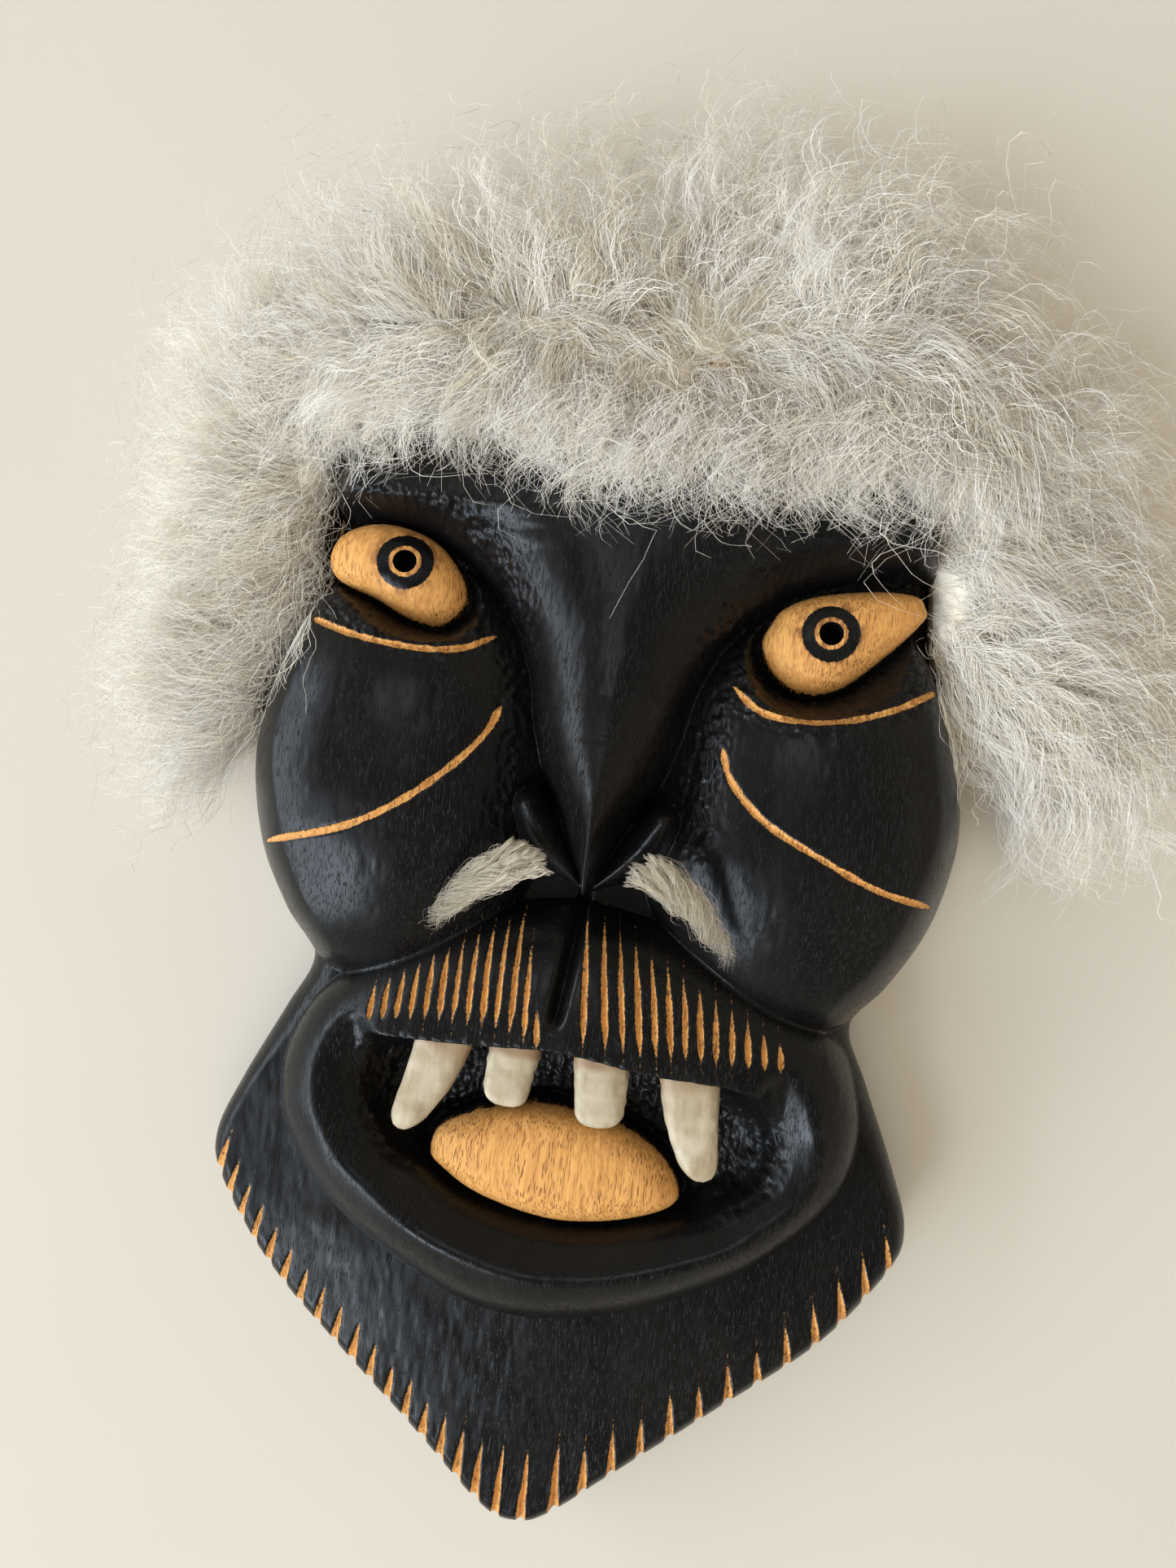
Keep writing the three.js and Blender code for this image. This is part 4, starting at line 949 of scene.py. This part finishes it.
def fringe():
    """Short loose curls over the forehead, thin enough for the wood to show through at their ends."""
    rng = np.random.default_rng(43)
    n = 215
    x = rng.uniform(-79, 77, n)
    low = broken(HAIRLINE, x) + 15 * rng.uniform(0, 1, n) ** 1.3
    top = np.maximum(low + 7, broken(HAIRLINE, x) + rng.uniform(14, 32, n))
    x_end = x * 1.01 + rng.normal(0, 8, n)
    height = face_at(x, top) + rng.uniform(1, 8, n)
    end_h = face_at(x_end, low) + rng.uniform(1, 8, n)
    puff = np.maximum(height, end_h) + rng.uniform(2, 13, n)
    route = (np.stack([x, height, top], 1), np.stack([x, puff, top + rng.uniform(0, 6, n)], 1),
             np.stack([x_end, puff, mix(top, low, 0.8)], 1), np.stack([x_end, end_h, low], 1))
    across = np.tile([1.0, 0.15, 0.1], (n, 1))
    batch = locks(rng, route, across, 9, (1.4, 2.6), (4.2, 18), (0.35, 6), 0.085, points=18, own=0.4)
    loose = locks(rng, [p[:200] for p in route], across[:200], 1, (3, 7), (6, 18), (0.6, 7), 0.10, points=24)
    share = [0.30, 0.18, 0.24, 0.20, 0.08]
    wool_pieces("wool_fringe", "fleece_fringe", [(9, batch), (1, loose)], share, 4)


def moustache(side, seed):
    """A combed tuft, full at the nose and twisted to a thin tip."""
    rng = np.random.default_rng(seed)
    route = curve([(9.5, 58, -22), (14.5, 60, -21.5), (21, 59.5, -24), (27.5, 57.5, -29), (33, 55, -34.5),
                   (37.5, 52.5, -41.5)], 8)
    share = np.linspace(0, 1, len(route))
    girth = [(0, 3.4), (0.12, 5.0), (0.3, 5.2), (0.5, 4.0), (0.7, 2.4), (0.85, 1.2), (1, 0.3)]
    n = 90
    t0 = rng.uniform(0.0, 0.45, n)
    turn, reach = rng.uniform(0, 2 * np.pi, n), np.sqrt(rng.uniform(0, 1, n))
    points = []
    for k in range(4):
        t = np.clip(t0 + k * 0.2, 0, 1)
        mid = np.stack([np.interp(t, share, route[:, i]) for i in range(3)], -1)
        r, a = reach * broken(girth, t), turn + 0.7 * k
        round_it = np.stack([0.45 * r * np.cos(a), 0.75 * r * np.sin(a), r * np.cos(a)], -1)
        points.append((mid + round_it) * (side, 1, 1))
    across = unit(np.cross(points[3] - points[0], np.tile([0.0, 1.0, 0.0], (n, 1))))
    batch = locks(rng, points, across, 9, (0.3, 0.6), (1.5, 13), (0.16, 5), 0.06, points=18, own=0.2, low=0.3)
    name = "left" if side < 0 else "right"
    shades = [0.0, 0.06, 0.06, 0.0, 0.26, 0.38, 0.24]
    wool_pieces(f"wool_moustache_{name}", f"moustache_{name}", [(9, batch)], shades, seed)


crown()
sides()
fringe()
moustache(-1, 51)
moustache(1, 52)

# ---- carried-over CAD nodes
for material, names in ((HIDE, ("hide_strip_crown", "hide_strip_left", "hide_strip_right")),
                        (STEEL, ("hanger_plate", "hanger_nail_left", "hanger_nail_right"))):
    for name in names:
        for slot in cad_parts[name].material_slots:
            slot.material = material


# ---- stage, light and camera
PAPER = (0.60, 0.555, 0.47)
WALL_SIZE = (4500.0, 4100.0)
FLOOR_X, FLOOR_Z = 4.5, -4.2


def paper_material(name, one_sided):
    s = Shader(name, PAPER, Roughness=0.75)
    n = s.noise(s.scaled(6, 6, 6), detail=2)
    s.feed("Base Color", s.blend(s.step(n, 0.3, 0.7), PAPER, tuple(c * 0.97 for c in PAPER)))
    if one_sided:
        clear = s.add("BsdfTransparent").outputs[0]
        facing = s.add("NewGeometry").outputs["Backfacing"]
        mixed = s.add("MixShader", {0: facing, 1: s.out.outputs[0], 2: clear})
        s.put(s.tree.nodes["Material Output"].inputs["Surface"], mixed.outputs[0])
    return s.mat


def wall():
    """Pale paper just behind the back rim, open behind the mask so that light reaches its back."""
    ring = np.concatenate([HALF, HALF[-2:0:-1] * (-1, 1)])
    middle = np.array([0.0, -30.0])
    hole = middle + (ring - middle) * 0.93
    edge = middle + (ring - middle) / np.abs((ring - middle) / WALL_SIZE).max(1, keepdims=True)
    points = np.concatenate([hole, edge])
    n = len(ring)
    j = np.arange(n)
    k = (j + 1) % n
    faces = [np.stack([j, j + n, k + n, k], -1)[:, ::-1]]
    verts = place(points[:, 0], -1.5, points[:, 1])
    make_mesh("wall", verts, faces, [paper_material("pale_wall", True)], smooth=False)


def floor():
    verts = [(x * FLOOR_X, y * FLOOR_X, FLOOR_Z) for x, y in ((-1, -1), (1, -1), (1, 1), (-1, 1))]
    make_mesh("floor", verts, [[[0, 1, 2, 3]]], [paper_material("pale_floor", False)], smooth=False)


wall()
floor()


def area(name, location, size, power, color):
    """A rectangular lamp that faces the middle of the mask."""
    light = bpy.data.lights.new(name, "AREA")
    light.shape, light.size, light.size_y = "RECTANGLE", *size
    light.energy, light.color = power, color
    ob = bpy.data.objects.new(name, light)
    bpy.context.scene.collection.objects.link(ob)
    ob.location = location
    ob.rotation_euler = (CENTRE - Vector(location)).to_track_quat("-Z", "Y").to_euler()
    return ob


CENTRE = Vector((0, -0.03, -0.12))
DAYLIGHT = (0.76, 0.87, 1.0)
area("window", (-2.18, -1.90, -2.20), (2.24, 2.24), 102, DAYLIGHT)
area("tall_window", (-3.2, -1.42, -0.01), (1.44, 3.36), 76, DAYLIGHT)
area("low_window", (-1.33, -2.51, -2.23), (0.88, 0.88), 21, DAYLIGHT)
area("behind", (0.8, 2.2, 0.8), (2.0, 2.0), 45, (1.0, 0.97, 0.93))
area("above", (-0.29, -2.33, 0.80), (0.9, 0.9), 5, (0.85, 0.92, 1.0))
# soft fill that lights the wool and the wall but leaves no shine on the black wood
area("fill", (0.16, -2.70, -1.05), (2.56, 2.56), 41, (1.0, 0.91, 0.78)).visible_glossy = False

world = bpy.data.worlds.new("room")
bpy.context.scene.world = world
world.use_nodes = True
nodes, link = world.node_tree.nodes, world.node_tree.links.new
# the room is dim on the side the camera looks from, so the black wood facing it stays black
ahead = nodes.new("ShaderNodeSeparateXYZ")
link(nodes.new("ShaderNodeTexCoord").outputs["Generated"], ahead.inputs[0])
dim = nodes.new("ShaderNodeMapRange")
dim.interpolation_type = "SMOOTHSTEP"
for key, value in (("From Min", -0.95), ("From Max", -0.45), ("To Min", 0.15), ("To Max", 0.52)):
    dim.inputs[key].default_value = value
link(ahead.outputs["Y"], dim.inputs["Value"])
nodes["Background"].inputs["Color"].default_value = (1.0, 0.88, 0.72, 1)
link(dim.outputs[0], nodes["Background"].inputs["Strength"])

# a wide lens close above the face, a little askew
CAMERA_AT = Vector((0.0127, -0.330, (-9.5 - HANG_Z) * MM))
CAMERA_TURNS = (("Z", 7.07), ("X", 1.94), ("Y", 2.96))
camera = bpy.data.cameras.new("camera")
camera.sensor_width, camera.lens, camera.clip_start = 36, 26, 0.01
eye = bpy.data.objects.new("camera", camera)
bpy.context.scene.collection.objects.link(eye)
upright = Matrix(((1, 0, 0), (0, 0, -1), (0, 1, 0)))
aim = upright
for axis, degrees in CAMERA_TURNS:
    aim = aim @ Matrix.Rotation(math.radians(degrees), 3, axis)
eye.matrix_world = Matrix.Translation(CAMERA_AT) @ aim.to_4x4()
bpy.context.scene.camera = eye
bpy.context.scene.view_settings.view_transform = "Standard"
